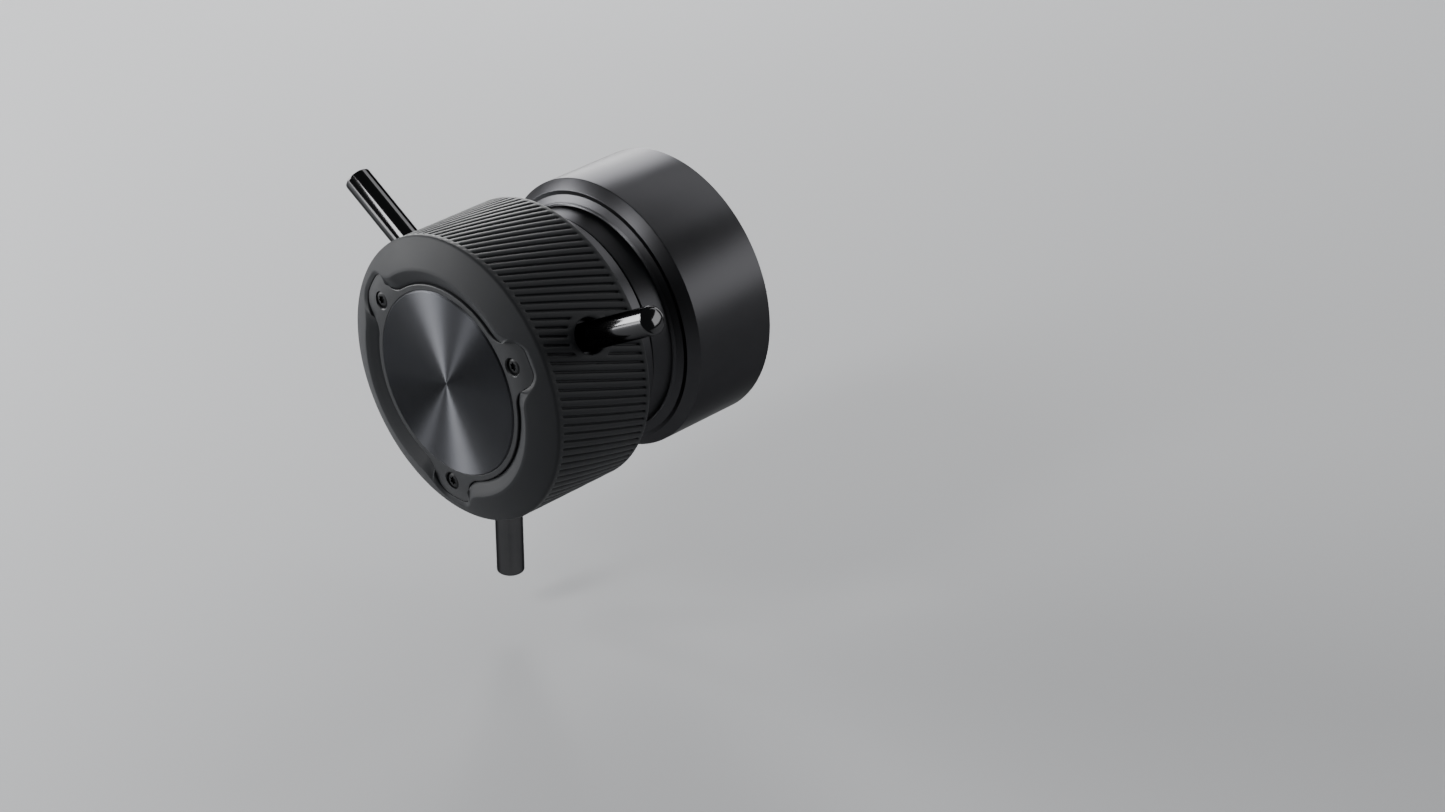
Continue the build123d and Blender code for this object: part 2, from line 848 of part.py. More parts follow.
def bearing_housing():
    """Fixed collar and bearing tube, with the labyrinth that closes the knob's skirt."""
    bore = bearing_radius + close_gap
    labyrinth = hub_inner_radius - labyrinth_gap
    foot_y = rim_y - collar_foot_radius
    foot = collar_radius + collar_foot_radius * (1 - math.sqrt(0.5))
    corners = [
        (collar_radius + collar_foot_radius, rim_y),
        (collar_radius, rim_y),
        (collar_radius, flange_y),
        (flange_radius, flange_y),
        (flange_radius, flange_back_y),
        (collar_bore_radius, flange_back_y),
        (collar_bore_radius, web_back_y),
        (bore, web_back_y),
        (bore, rear_bearing_y - close_gap),
        (rib_radius, rear_bearing_y - close_gap),
        (rib_radius, front_bearing_y + bearing_width + close_gap),
        (bore, front_bearing_y + bearing_width + close_gap),
        (bore, tube_front_y),
        (tube_radius, tube_front_y),
        (tube_radius, collar_front_y),
        (labyrinth - felt_depth - felt_width, collar_front_y),
        (labyrinth - felt_depth - felt_width, collar_front_y - labyrinth_length),
        (labyrinth, collar_front_y - labyrinth_length),
        (labyrinth, collar_front_y),
        (collar_radius, collar_front_y),
        (collar_radius, foot_y),
    ]
    foot_middle = (foot, rim_y - collar_foot_radius * (1 - math.sqrt(0.5)))
    housing = turned(Polyline(*corners), ThreePointArc(corners[-1], foot_middle, corners[0]))
    housing -= tube(labyrinth + overrun, labyrinth - felt_depth, felt_y(), felt_y() + felt_width)
    housing = cut_holes(
        housing,
        screw_shank_radius + slip_gap,
        flange_screw_circle,
        flange_angles,
        flange_y - overrun,
        flange_back_y + overrun,
    )
    return cut_holes(
        housing,
        small_shank_radius,
        board_screw_circle,
        board_angles,
        flange_y - overrun,
        flange_back_y + overrun,
    )


def felt_y():
    """Front of the felt ring's groove, in the middle of the labyrinth."""
    return collar_front_y - (labyrinth_length + felt_width) / 2


def felt_seal():
    """Felt ring that keeps dust out and just clears the skirt's bore."""
    inner = hub_inner_radius - labyrinth_gap - felt_depth + close_gap
    return tube(
        hub_inner_radius - slip_gap, inner, felt_y() + close_gap, felt_y() + felt_width - close_gap
    )


def flange_screws():
    """Screws through the housing's flange into the drum's front wall."""
    length = flange_thickness + drum_front_wall - clear_gap
    return join(
        [
            screw(
                screw_head_radius,
                screw_head_height,
                screw_shank_radius - close_gap,
                length,
                flange_back_y,
                *polar(flange_screw_circle, angle),
                -1,
            )
            for angle in flange_angles
        ]
    )


def housing_drum():
    """Drum shell: dished front wall, chamfered shoulder, open rear with four screw bosses."""
    inside_y = flange_y - close_gap
    bore = collar_radius + collar_foot_radius
    drum = turned_outline(
        (bore + close_gap, rim_y - rim_bead),
        (bore + rim_bead, rim_y),
        (dish_edge_radius - dish_ramp, dish_y - close_gap),
        (dish_edge_radius, dish_y),
        (drum_radius, drum_chamfer_y),
        (drum_radius, drum_rear_y - drum_edge_radius),
        (drum_radius - drum_edge_radius, drum_rear_y),
        (drum_inner_radius, drum_rear_y),
        (drum_inner_radius, inside_y),
        (collar_radius + close_gap, inside_y),
        (collar_radius + close_gap, rim_y + close_gap),
        (bore + close_gap, rim_y + close_gap),
    )
    hole_y = inside_y - drum_front_wall
    drum = cut_holes(
        drum, screw_shank_radius, flange_screw_circle, flange_angles, hole_y, inside_y + overrun
    )
    boss_y = cover_y - cover_boss_length
    for angle in cover_angles:
        boss = rod(cover_boss_radius, boss_y, cover_y - close_gap, *polar(cover_boss_circle, angle))
        drum += boss & rod(drum_inner_radius + drum_wall / 2, boss_y, cover_y)
    return cut_holes(
        drum, screw_shank_radius, cover_boss_circle, cover_angles, boss_y - overrun, cover_y
    )


def encoder_hub():
    """Small flanged hub that clamps the code wheel to the shaft's tail."""
    seat_y = encoder_hub_back_y - encoder_flange_length
    hub = rod(encoder_neck_radius, encoder_hub_y, seat_y) + rod(
        encoder_flange_radius, seat_y, encoder_hub_back_y
    )
    hub -= rod(shaft_tail_radius + close_gap, encoder_hub_y - overrun, encoder_hub_back_y + overrun)
    side = radial_plane(shaft_tail_radius / 2, grub_angle, grub_y())
    return hub - extrude(side * Circle(grub_radius), amount=encoder_flange_radius)


def grub_y():
    """Place of the grub screw along the encoder hub's neck."""
    return encoder_hub_y + (encoder_hub_length - encoder_flange_length) / 4


def encoder_grub():
    """Grub screw that bears on the shaft's tail."""
    side = radial_plane(shaft_tail_radius + close_gap, grub_angle, grub_y())
    return extrude(
        side * Circle(grub_radius - close_gap), amount=encoder_neck_radius - shaft_tail_radius
    )


def encoder_wheel():
    """Code wheel with a ring of radial slots near its rim."""
    wheel = tube(
        encoder_radius,
        encoder_neck_radius + close_gap,
        encoder_y,
        encoder_y + encoder_thickness - close_gap,
    )
    middle = encoder_radius - encoder_slot_length
    slots = Sketch() + [
        loc * Rectangle(encoder_slot_length, encoder_slot_width)
        for loc in PolarLocations(middle, encoder_slots)
    ]
    return wheel - slab(slots, encoder_y - overrun, encoder_y + encoder_thickness + overrun)


def encoder_sensor():
    """Forked optical reader on the encoder board, with the wheel's rim in its slot."""
    depth = sensor_outer_radius - sensor_inner_radius
    middle = (sensor_outer_radius + sensor_inner_radius) / 2
    start = encoder_y - sensor_slot_width / 2 - sensor_wall
    body = slab(Pos(middle, 0) * Rectangle(depth, sensor_width), start, flange_back_y - close_gap)
    slot_end = encoder_radius + clear_gap
    slot = Pos((sensor_inner_radius + slot_end - overrun) / 2, 0) * Rectangle(
        slot_end - sensor_inner_radius + overrun, sensor_width + overrun
    )
    return body - slab(
        slot, start + sensor_wall, start + sensor_wall + sensor_slot_width + encoder_thickness
    )


def encoder_board():
    """Round board behind the collar's flange."""
    board = tube(
        encoder_board_radius, encoder_board_bore, flange_back_y, encoder_board_back_y - close_gap
    )
    return cut_holes(
        board,
        small_shank_radius + slip_gap,
        board_screw_circle,
        board_angles,
        flange_back_y - overrun,
        encoder_board_back_y + overrun,
    )


def board_screws(circle, angles, head_y, facing):
    """Small screws that hold a board."""
    length = board_thickness + thread_grip - clear_gap
    return join(
        [
            screw(
                small_head_radius,
                small_head_height,
                small_shank_radius - close_gap,
                length,
                head_y,
                *polar(circle, angle),
                facing,
            )
            for angle in angles
        ]
    )


def main_board():
    """Round board behind the encoder, on the rear cover's pillars."""
    board = rod(main_board_radius, main_board_y, main_board_back_y - close_gap)
    return cut_holes(
        board,
        small_shank_radius + slip_gap,
        pillar_circle,
        pillar_angles,
        main_board_y - overrun,
        main_board_back_y + overrun,
    )


def connector_y(board_number):
    """Front of the ribbon's connector on the encoder board, 0, or on the main board, 1."""
    return (encoder_board_back_y, main_board_y - connector_depth)[board_number]


def ribbon_connectors():
    """The two sockets that the ribbon plugs into."""
    shape = Pos(0, -connector_offset) * Rectangle(connector_width, connector_height)
    slot = Pos(0, -connector_offset - connector_height / 2) * Rectangle(
        ribbon_width + 2 * slip_gap, connector_height
    )
    pieces = []
    for number in range(2):
        start = connector_y(number)
        socket = slab(shape, start, start + connector_depth - close_gap)
        middle = start + connector_depth / 2
        pieces.append(
            socket - slab(
                slot,
                middle - ribbon_thickness / 2 - close_gap,
                middle + ribbon_thickness / 2 + close_gap,
            )
        )
    return join(pieces)


def ribbon_cable():
    """Flat flexible lead that folds once between the two boards."""
    first = connector_y(0) + connector_depth / 2
    last = connector_y(1) + connector_depth / 2
    bend = (last - first) / 2
    start = connector_offset + close_gap
    fold = connector_offset + connector_height / 2 + clear_gap
    side = Plane(origin=(-ribbon_width / 2, 0, 0), x_dir=(0, 1, 0), z_dir=(1, 0, 0))
    half = ribbon_thickness / 2
    inner = bend - half
    outer = bend + half
    middle = first + bend
    strip = make_face(
        Curve()
        + [
            Polyline(
                (first + half, -fold),
                (first + half, -start),
                (first - half, -start),
                (first - half, -fold),
            ),
            ThreePointArc((first - half, -fold), (middle, -fold - outer), (last + half, -fold)),
            Polyline(
                (last + half, -fold),
                (last + half, -start),
                (last - half, -start),
                (last - half, -fold),
            ),
            ThreePointArc((last - half, -fold), (middle, -fold - inner), (first + half, -fold)),
        ]
    )
    return extrude(side * strip, amount=ribbon_width)


def usb_places():
    """Centre of each socket, as x and z."""
    return [(-usb_offset, side * usb_spacing / 2) for side in (-1, 1)]


def usb_outline(growth):
    """Rounded outline of a socket's shell, upright, grown by an amount."""
    return RectangleRounded(
        usb_width + 2 * growth, usb_length + 2 * growth, usb_width / 2 + growth - close_gap
    )


def usb_sockets():
    """Two upright data sockets on the main board, each a shell with a tongue."""
    mouth_y = drum_rear_y - usb_recess
    floor_y = mouth_y - cover_thickness
    pieces = []
    for x, z in usb_places():
        shell = slab(Pos(x, z) * usb_outline(0), main_board_back_y, mouth_y)
        shell -= slab(Pos(x, z) * usb_outline(-usb_wall), floor_y, mouth_y + overrun)
        tongue = Rectangle(usb_tongue, usb_length - 2 * usb_width / 2)
        pieces.append(shell + slab(Pos(x, z) * tongue, floor_y - usb_wall, mouth_y - usb_wall))
    return join(pieces)


def button_switch():
    """Small switch on the main board, under the direction button."""
    body = slab(
        Pos(0, button_height) * Rectangle(switch_size, switch_size),
        main_board_back_y,
        switch_top_y() - plunger_stand,
    )
    return body + rod(plunger_radius, main_board_back_y, switch_top_y(), 0, button_height)


def switch_top_y():
    """Top of the switch's plunger, just clear of the pressed button."""
    return cover_y - button_flange_thickness - button_stem_length - button_travel - run_gap


def direction_button():
    """Push button with a domed cap, a flange behind the cover and a stem over the switch."""
    flange_front = cover_y - button_flange_thickness
    button = rod(button_radius, cover_y - close_gap, drum_rear_y + button_stand, 0, button_height)
    button = fillet(
        circle_edges(button, button_radius, drum_rear_y + button_stand), button_stand / 2
    )
    button += rod(
        button_flange_radius, flange_front - close_gap, cover_y - close_gap, 0, button_height
    )
    return button + rod(
        plunger_radius, flange_front - button_stem_length, cover_y - close_gap, 0, button_height
    )


def rear_cover():
    """Thick rear cover with the board's pillars, the sockets' slots and the button's hole."""
    cover = rod(cover_radius, cover_y, drum_rear_y)
    for angle in pillar_angles:
        cover += rod(pillar_radius, main_board_back_y, cover_y, *polar(pillar_circle, angle))
    cover = cut_holes(
        cover,
        small_shank_radius,
        pillar_circle,
        pillar_angles,
        main_board_back_y - overrun,
        cover_y,
    )
    cover = cut_holes(
        cover,
        screw_shank_radius + slip_gap,
        cover_boss_circle,
        cover_angles,
        cover_y - overrun,
        drum_rear_y + overrun,
    )
    cover = cut_holes(
        cover,
        screw_head_radius + slip_gap,
        cover_boss_circle,
        cover_angles,
        drum_rear_y - screw_head_height - slip_gap,
        drum_rear_y + overrun,
    )
    for x, z in usb_places():
        cover -= slab(Pos(x, z) * usb_outline(slip_gap), cover_y - overrun, drum_rear_y + overrun)
    cover -= rod(
        button_radius + run_gap, cover_y - overrun, drum_rear_y + overrun, 0, button_height
    )
    for x, z in rosette_screw_places():
        cover -= rod(screw_shank_radius + slip_gap, cover_y - overrun, drum_rear_y + overrun, x, z)
    return cover


def cover_screws():
    """Four screws that hold the rear cover to the drum's bosses."""
    head_y = drum_rear_y - screw_head_height - slip_gap
    length = cover_thickness + cover_boss_length / 2
    return join(
        [
            screw(
                screw_head_radius,
                screw_head_height,
                screw_shank_radius - close_gap,
                length,
                head_y,
                *polar(cover_boss_circle, angle),
                -1,
            )
            for angle in cover_angles
        ]
    )


def rosette_screw_places():
    """Centre of each rosette screw, as x and z."""
    places = [polar(rosette_screw_circle, angle) for angle in rosette_angles]
    return [(rosette_offset + x, z) for x, z in places]


def rosette_cutter():
    """Wedge that cuts one tooth gap, deeper and wider towards the rim."""
    reach = rosette_radius + overrun
    sections = []
    for radius in (tooth_inner_radius - overrun, reach):
        half = radius * math.tan(math.pi / tooth_count) * (1 - tooth_land_share)
        depth = tooth_depth * radius / rosette_radius
        raised = overrun * radius / rosette_radius
        growth = 1 + raised / depth
        plane = Plane(origin=(radius, 0, 0), x_dir=(0, 0, 1), z_dir=(1, 0, 0))
        sections.append(
            plane * make_face(
                Polyline(
                    (-half * growth, -raised), (0, depth), (half * growth, -raised), close=True
                )
            )
        )
    return loft(sections, ruled=True)


def rosette_mount():
    """Toothed disc that the demand hangs on, with a seat for the threaded bush."""
    body = rod(rosette_radius, drum_rear_y + close_gap, rosette_tip_y)
    body -= rod(tooth_inner_radius, bush_mouth_y, rosette_tip_y + overrun)
    place = Pos(0, rosette_tip_y, 0)
    wedge = rosette_cutter()
    body -= [place * Rot(Y=index * 360 / tooth_count) * wedge for index in range(tooth_count)]
    body -= rod(bush_radius + close_gap, drum_rear_y - overrun, rosette_tip_y + overrun)
    body -= rod(
        bush_flange_radius + close_gap,
        drum_rear_y - overrun,
        drum_rear_y + bush_flange_thickness + close_gap,
    )
    body = cut_holes(
        body,
        screw_shank_radius,
        rosette_screw_circle,
        rosette_angles,
        drum_rear_y - overrun,
        bush_mouth_y - overrun,
    )
    return Pos(rosette_offset, 0, 0) * body


def rosette_screws():
    """Screws from inside the cover into the rosette."""
    length = cover_thickness + rosette_height / 2
    return join(
        [
            screw(
                screw_head_radius,
                screw_head_height,
                screw_shank_radius - close_gap,
                length,
                cover_y,
                x,
                z,
                1,
            )
            for x, z in rosette_screw_places()
        ]
    )


def thread_bush():
    """Steel bush with the mounting thread, flanged so that it can't pull out."""
    bush = rod(bush_radius, drum_rear_y + close_gap, bush_mouth_y, rosette_offset)
    bush += rod(
        bush_flange_radius,
        drum_rear_y + close_gap,
        drum_rear_y + bush_flange_thickness,
        rosette_offset,
    )
    return bush - rod(thread_radius, drum_rear_y - overrun, rosette_tip_y + overrun, rosette_offset)


def all_pieces():
    """Every node of the demand, by name."""
    pieces = {
        "grip_sleeve": grip_sleeve(),
        "badge_carrier": badge_carrier(),
        "badge_disc": badge_disc(),
        "carrier_screws": carrier_screws(),
        "hub_face": hub_face(),
        "hub_screws": hub_screws(),
        "knob_hub": knob_hub(),
        "knob_shaft": knob_shaft(),
        "shaft_washer": shaft_washer(),
        "shaft_screw": shaft_screw(),
        "drive_pin": drive_pin(),
        "shaft_clip": shaft_clip(),
        "bearing_spacer": bearing_spacer(),
        "bearing_housing": bearing_housing(),
        "felt_seal": felt_seal(),
        "flange_screws": flange_screws(),
        "housing_drum": housing_drum(),
        "encoder_hub": encoder_hub(),
        "encoder_grub": encoder_grub(),
        "encoder_wheel": encoder_wheel(),
        "encoder_sensor": encoder_sensor(),
        "encoder_board": encoder_board(),
        "encoder_board_screws": board_screws(
            board_screw_circle, board_angles, encoder_board_back_y, -1
        ),
        "main_board": main_board(),
        "main_board_screws": board_screws(pillar_circle, pillar_angles, main_board_y, 1),
        "ribbon_connectors": ribbon_connectors(),
        "ribbon_cable": ribbon_cable(),
        "usb_sockets": usb_sockets(),
        "button_switch": button_switch(),
        "direction_button": direction_button(),
        "rear_cover": rear_cover(),
        "cover_screws": cover_screws(),
        "rosette_mount": rosette_mount(),
        "rosette_screws": rosette_screws(),
        "thread_bush": thread_bush(),
    }
    for name, angle in zip(("right", "left", "lower"), peg_angles):
        pieces["grip_peg_" + name] = grip_peg(angle)
    for place, front_y in (("front", front_bearing_y), ("rear", rear_bearing_y)):
        for name, piece in bearing(front_y).items():
            pieces[place + "_bearing_" + name] = piece
    return pieces


os.makedirs("parts", exist_ok=True)
to_origin = Pos(-rosette_offset, -bush_mouth_y, 0)
for node, piece in all_pieces().items():
    export_step(to_origin * piece, "parts/" + node + ".step")
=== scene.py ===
"""Looks of a focus demand: a ribbed knob with three grip pegs, on a fixed drum that hangs on a rosette.

The meshes are made in millimetres about the knob's own axis, with the badge's front at y = 0 and the
drum behind it. Each finished mesh is then moved into the frame, in metres. Angles about the axis are
degrees from +X towards +Z. A turned piece comes from corners (radius, y, fillet), and a form that
changes round the axis from rows (radius, y, shift in degrees).
"""

import json
import logging
import math
from dataclasses import dataclass
from enum import Enum
from typing import Callable

import bmesh
import bpy
from bmesh.types import BMesh
from mathutils import Matrix, Vector
from mathutils.kdtree import KDTree


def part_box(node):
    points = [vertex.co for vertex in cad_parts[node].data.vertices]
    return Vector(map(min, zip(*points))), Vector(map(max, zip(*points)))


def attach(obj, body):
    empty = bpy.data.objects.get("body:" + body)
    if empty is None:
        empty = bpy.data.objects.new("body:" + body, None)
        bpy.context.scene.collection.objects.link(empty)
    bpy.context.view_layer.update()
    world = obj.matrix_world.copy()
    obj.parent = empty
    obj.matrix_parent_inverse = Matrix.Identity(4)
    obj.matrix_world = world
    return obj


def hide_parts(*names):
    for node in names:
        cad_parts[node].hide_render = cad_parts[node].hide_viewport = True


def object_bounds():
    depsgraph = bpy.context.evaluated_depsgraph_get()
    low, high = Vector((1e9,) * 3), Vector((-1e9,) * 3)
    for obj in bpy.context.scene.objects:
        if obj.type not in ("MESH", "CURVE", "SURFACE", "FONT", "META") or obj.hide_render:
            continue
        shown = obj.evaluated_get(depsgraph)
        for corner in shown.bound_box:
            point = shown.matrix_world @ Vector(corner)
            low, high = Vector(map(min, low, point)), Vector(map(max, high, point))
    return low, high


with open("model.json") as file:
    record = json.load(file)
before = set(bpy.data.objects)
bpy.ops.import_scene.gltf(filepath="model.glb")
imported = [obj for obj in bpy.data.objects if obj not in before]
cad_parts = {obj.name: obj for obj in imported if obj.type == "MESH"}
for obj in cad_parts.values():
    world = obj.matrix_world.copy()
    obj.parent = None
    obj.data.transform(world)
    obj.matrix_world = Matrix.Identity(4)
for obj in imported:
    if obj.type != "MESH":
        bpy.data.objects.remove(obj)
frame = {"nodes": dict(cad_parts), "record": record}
CAD_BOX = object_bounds()

MM = 0.001
WELD = 0.0005
SHARP = math.radians(32)
IMAGE_WIDTH = 1445
DRIFT_LOW, DRIFT_HIGH = 0.35, 0.7
WEAR_PATCH_MM = 3.0
RADIUS_TURN = "radius_turn"
HALVINGS = 26
# Millimetres: the gap between fixed parts that touch, and the sleeve's hook with the skirt it closes on
FIT = 0.02
HOOK_DEPTH = 1.3
SKIRT_RADIUS = 34.0

log = logging.getLogger("focus_demand")

Point = tuple[float, float]
Corner = tuple[float, float, float]
Row = tuple[float, float, float]
NodeTree = bpy.types.NodeTree
NodeSocket = bpy.types.NodeSocket


class Body(Enum):
    """The bodies that a piece can ride on."""

    HOUSING = "housing"
    KNOB = "knob"
    BUTTON = "button"


class Slot(Enum):
    """The material slots of the record."""

    RUBBER = "grip_rubber"
    PLATE = "plate_satin"
    BADGE = "badge_turned"
    BLACK_SCREWS = "black_screws"
    HUB = "hub_aluminium"
    PEG = "peg_chrome"
    STEEL = "shaft_steel"
    SPRING = "spring_steel"
    BEARING = "bearing_steel"
    BRASS = "cage_brass"
    DRUM = "drum_anodised"
    ROSETTE = "rosette_anodised"
    FELT = "felt"
    PLATED = "plated_screws"
    SENSOR = "sensor_plastic"
    LAMINATE = "board_laminate"
    FILM = "ribbon_film"
    SOCKET = "socket_steel"
    BUTTON = "button_plastic"


def knob_origin() -> Vector:
    """Centre of the badge's front face, in metres."""
    low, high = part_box("badge_disc")
    return Vector(((low.x + high.x) / 2, low.y, (low.z + high.z) / 2))


ORIGIN = knob_origin()
TO_FRAME = Matrix.Translation(ORIGIN) @ Matrix.Scale(MM, 4)


@dataclass(frozen=True)
class Extent:
    """Box of a CAD node in millimetres, about the knob's axis and behind the badge's front.

    Args:
        low: lowest corner.
        high: highest corner.
    """

    low: Vector
    high: Vector

    @classmethod
    def of(cls, node: str) -> "Extent":
        """Measures a node."""
        low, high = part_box(node)
        return cls((low - ORIGIN) / MM, (high - ORIGIN) / MM)

    @property
    def front(self) -> float:
        """Place of the node's front."""
        return self.low.y

    @property
    def rear(self) -> float:
        """Place of the node's rear."""
        return self.high.y

    @property
    def radius(self) -> float:
        """Half of the node's height, which is a turned piece's radius."""
        return (self.high.z - self.low.z) / 2


def linear(code: str) -> tuple[float, float, float, float]:
    """Turns an sRGB hex colour to linear.

    Args:
        code: six hex digits.

    Returns:
        Red, green, blue and an alpha of 1.
    """
    parts = [int(code[start : start + 2], 16) / 255 for start in (0, 2, 4)]
    return (*[p / 12.92 if p <= 0.04045 else ((p + 0.055) / 1.055) ** 2.4 for p in parts], 1.0)


def add_node(tree: NodeTree, kind: str, settings: dict | None = None,
             values: dict | None = None, links: dict | None = None) -> bpy.types.Node:
    """Adds a shader node.

    Args:
        tree: the material's node tree.
        kind: the node's type, without its ShaderNode start.
        settings: the node's own properties, by name.
        values: numbers and colours for its inputs, by name.
        links: sockets to link to its inputs, by name.

    Returns:
        The new node.
    """
    node = tree.nodes.new("ShaderNode" + kind)
    for name, value in (settings or {}).items():
        setattr(node, name, value)
    for name, value in (values or {}).items():
        node.inputs[name].default_value = value
    for name, socket in (links or {}).items():
        tree.links.new(socket, node.inputs[name])
    return node


@dataclass(frozen=True)
class Finish:
    """A surface with fine grain, soft mottling and edges that handling has changed.

    Args:
        name: the material's common name and how it was made.
        colour: sRGB hex of the surface.
        mottle: sRGB hex that the surface drifts to.
        edge: sRGB hex of convex edges.
        roughness: the least roughness.
        rough_spread: how much rougher the mottling makes it.
        metallic: 1 for a bare metal.
        ior: index of refraction of what isn't metal.
        specular: strength of the surface reflection, 0.5 for what the index gives.
        grazing: sRGB hex of the reflection at a grazing angle, which a dark oxide or dye dims.
        grain_mm: size of the grain.
        grain_height_mm: how far the grain stands out.
        mottle_mm: size of the mottling.
        edge_mm: width of the changed edges.
    """

    name: str
    colour: str
    mottle: str
    edge: str
    roughness: float
    rough_spread: float = 0.08
    metallic: float = 0.0
    ior: float = 1.5
    specular: float = 0.5
    grazing: str = "ffffff"
    grain_mm: float = 0.12
    grain_height_mm: float = 0.01
    mottle_mm: float = 14.0
    edge_mm: float = 0.25

    def material(self) -> bpy.types.Material:
        """Returns the finish's material, made once."""
        found = bpy.data.materials.get(self.name)
        return found or self.build()

    def build(self) -> bpy.types.Material:
        """Makes the material.

        Returns:
            The new material.
        """
        material = bpy.data.materials.new(self.name)
        material.use_nodes = True
        tree = material.node_tree
        shader = tree.nodes["Principled BSDF"]
        uniform = {"Metallic": self.metallic, "IOR": self.ior, "Specular IOR Level": self.specular,
                   "Specular Tint": linear(self.grazing), **self.uniform_values()}
        for name, value in uniform.items():
            shader.inputs[name].default_value = value
        place = add_node(tree, "TexCoord").outputs["Object"]
        cloud = {"Scale": 1 / (self.mottle_mm * MM), "Detail": 5.0, "Roughness": 0.6}
        drift = add_node(tree, "TexNoise", values=cloud, links={"Vector": place}).outputs["Fac"]
        tone = add_node(tree, "ValToRGB", links={"Fac": drift})
        ends = ((DRIFT_LOW, self.colour), (DRIFT_HIGH, self.mottle))
        for stop, (position, code) in zip(tone.color_ramp.elements, ends):
            stop.position = position
            stop.color = linear(code)
        worn = self.worn_edges(tree, place)
        colour = add_node(tree, "Mix", {"data_type": "RGBA"}, {7: linear(self.edge)},
                          {0: worn, 6: tone.outputs["Color"]}).outputs[2]
        span = {"From Min": DRIFT_LOW, "From Max": DRIFT_HIGH, "To Min": self.roughness,
                "To Max": self.roughness + self.rough_spread}
        rough = add_node(tree, "MapRange", values=span, links={"Value": drift}).outputs["Result"]
        tree.links.new(colour, shader.inputs["Base Color"])
        tree.links.new(rough, shader.inputs["Roughness"])
        tree.links.new(self.relief(tree, place), shader.inputs["Normal"])
        return material

    def uniform_values(self) -> dict[str, float]:
        """Returns the shader's other values that are the same all over."""
        return {}

    def worn_edges(self, tree: NodeTree, place: NodeSocket) -> NodeSocket:
        """Finds edges by how far a rounded normal leaves the real one, and breaks them up with noise.

        Args:
            tree: the material's node tree.
            place: the socket that gives the place on the piece.

        Returns:
            The share of the edge colour.
        """
        rounded = add_node(tree, "Bevel", {"samples": 6}, {"Radius": self.edge_mm * MM}).outputs["Normal"]
        true = add_node(tree, "NewGeometry").outputs["Normal"]
        along = add_node(tree, "VectorMath", {"operation": "DOT_PRODUCT"}, links={0: rounded, 1: true})
        bend = add_node(tree, "MapRange", values={"From Min": 0.98, "From Max": 0.8},
                        links={"Value": along.outputs["Value"]})
        patches = add_node(tree, "TexNoise", values={"Scale": 1 / (WEAR_PATCH_MM * MM), "Detail": 3.0},
                           links={"Vector": place})
        held = add_node(tree, "MapRange", values={"From Min": 0.3, "From Max": 0.6, "To Min": 0.25},
                        links={"Value": patches.outputs["Fac"]})
        return add_node(tree, "Math", {"operation": "MULTIPLY"},
                        links={0: bend.outputs["Result"], 1: held.outputs["Result"]}).outputs["Value"]

    def relief(self, tree: NodeTree, place: NodeSocket) -> NodeSocket:
        """Makes the fine grain.

        Args:
            tree: the material's node tree.
            place: the socket that gives the place on the piece.

        Returns:
            The normal.
        """
        grain = add_node(tree, "TexNoise", values={"Scale": 1 / (self.grain_mm * MM), "Detail": 2.0},
                         links={"Vector": place})
        return add_node(tree, "Bump", values={"Strength": 0.6, "Distance": self.grain_height_mm * MM},
                        links={"Height": grain.outputs["Fac"]}).outputs["Normal"]


@dataclass(frozen=True)
class TurnedMetal(Finish):
    """Metal faced on a lathe: rings finer than the eye sees draw the light out across them.

    Args:
        across: how strongly light is drawn out along the radius.
        ring_mm: spacing of the rings, drawn coarser than the real feed so that they show.
    """

    across: float = 1.0
    ring_mm: float = 0.45

    def uniform_values(self) -> dict[str, float]:
        """Returns the anisotropy."""
        return {"Anisotropic": self.across}

    def build(self) -> bpy.types.Material:
        """Makes the material, with its tangent along the radius, the first axis of the piece's UV map.

        Returns:
            The new material.
        """
        material = super().build()
        tree = material.node_tree
        tangent = add_node(tree, "Tangent", {"direction_type": "UV_MAP", "uv_map": RADIUS_TURN})
        tree.links.new(tangent.outputs["Tangent"], tree.nodes["Principled BSDF"].inputs["Tangent"])
        return material

    def relief(self, tree: NodeTree, place: NodeSocket) -> NodeSocket:
        """Makes the rings, which vary in depth like a real feed mark.

        Args:
            tree: the material's node tree.
            place: the socket that gives the place on the piece.

        Returns:
            The normal.
        """
        spread = add_node(tree, "UVMap", {"uv_map": RADIUS_TURN}).outputs["UV"]
        radius = add_node(tree, "SeparateXYZ", links={"Vector": spread}).outputs["X"]
        rings = add_node(tree, "TexNoise", {"noise_dimensions": "1D"},
                         {"Detail": 3.0, "Scale": 1 / self.ring_mm}, {"W": radius})
        return add_node(tree, "Bump", values={"Strength": 0.5, "Distance": self.grain_height_mm * MM},
                        links={"Height": rings.outputs["Fac"]}).outputs["Normal"]


@dataclass(frozen=True)
class Banded(Finish):
    """A surface with fine parallel bands, such as a board's glass cloth or a flat lead's conductors.

    Args:
        directions: the axes that the bands follow each other along.
        band_mm: their spacing.
        band_height_mm: how far they stand out.
    """

    directions: tuple[str, ...] = ("X",)
    band_mm: float = 1.0
    band_height_mm: float = 0.03

    def relief(self, tree: NodeTree, place: NodeSocket) -> NodeSocket:
        """Makes the bands, each direction over the one before. A wave of scale 1 repeats every tau / 20.

        Args:
            tree: the material's node tree.
            place: the socket that gives the place on the piece.

        Returns:
            The normal.
        """
        normal = super().relief(tree, place)
        wave = {"Scale": math.tau / 20 / (self.band_mm * MM), "Distortion": 0.3}
        for direction in self.directions:
            band = add_node(tree, "TexWave", {"bands_direction": direction}, wave, {"Vector": place})
            bump = add_node(tree, "Bump", values={"Strength": 0.7, "Distance": self.band_height_mm * MM},
                            links={"Height": band.outputs["Fac"], "Normal": normal})
            normal = bump.outputs["Normal"]
        return normal


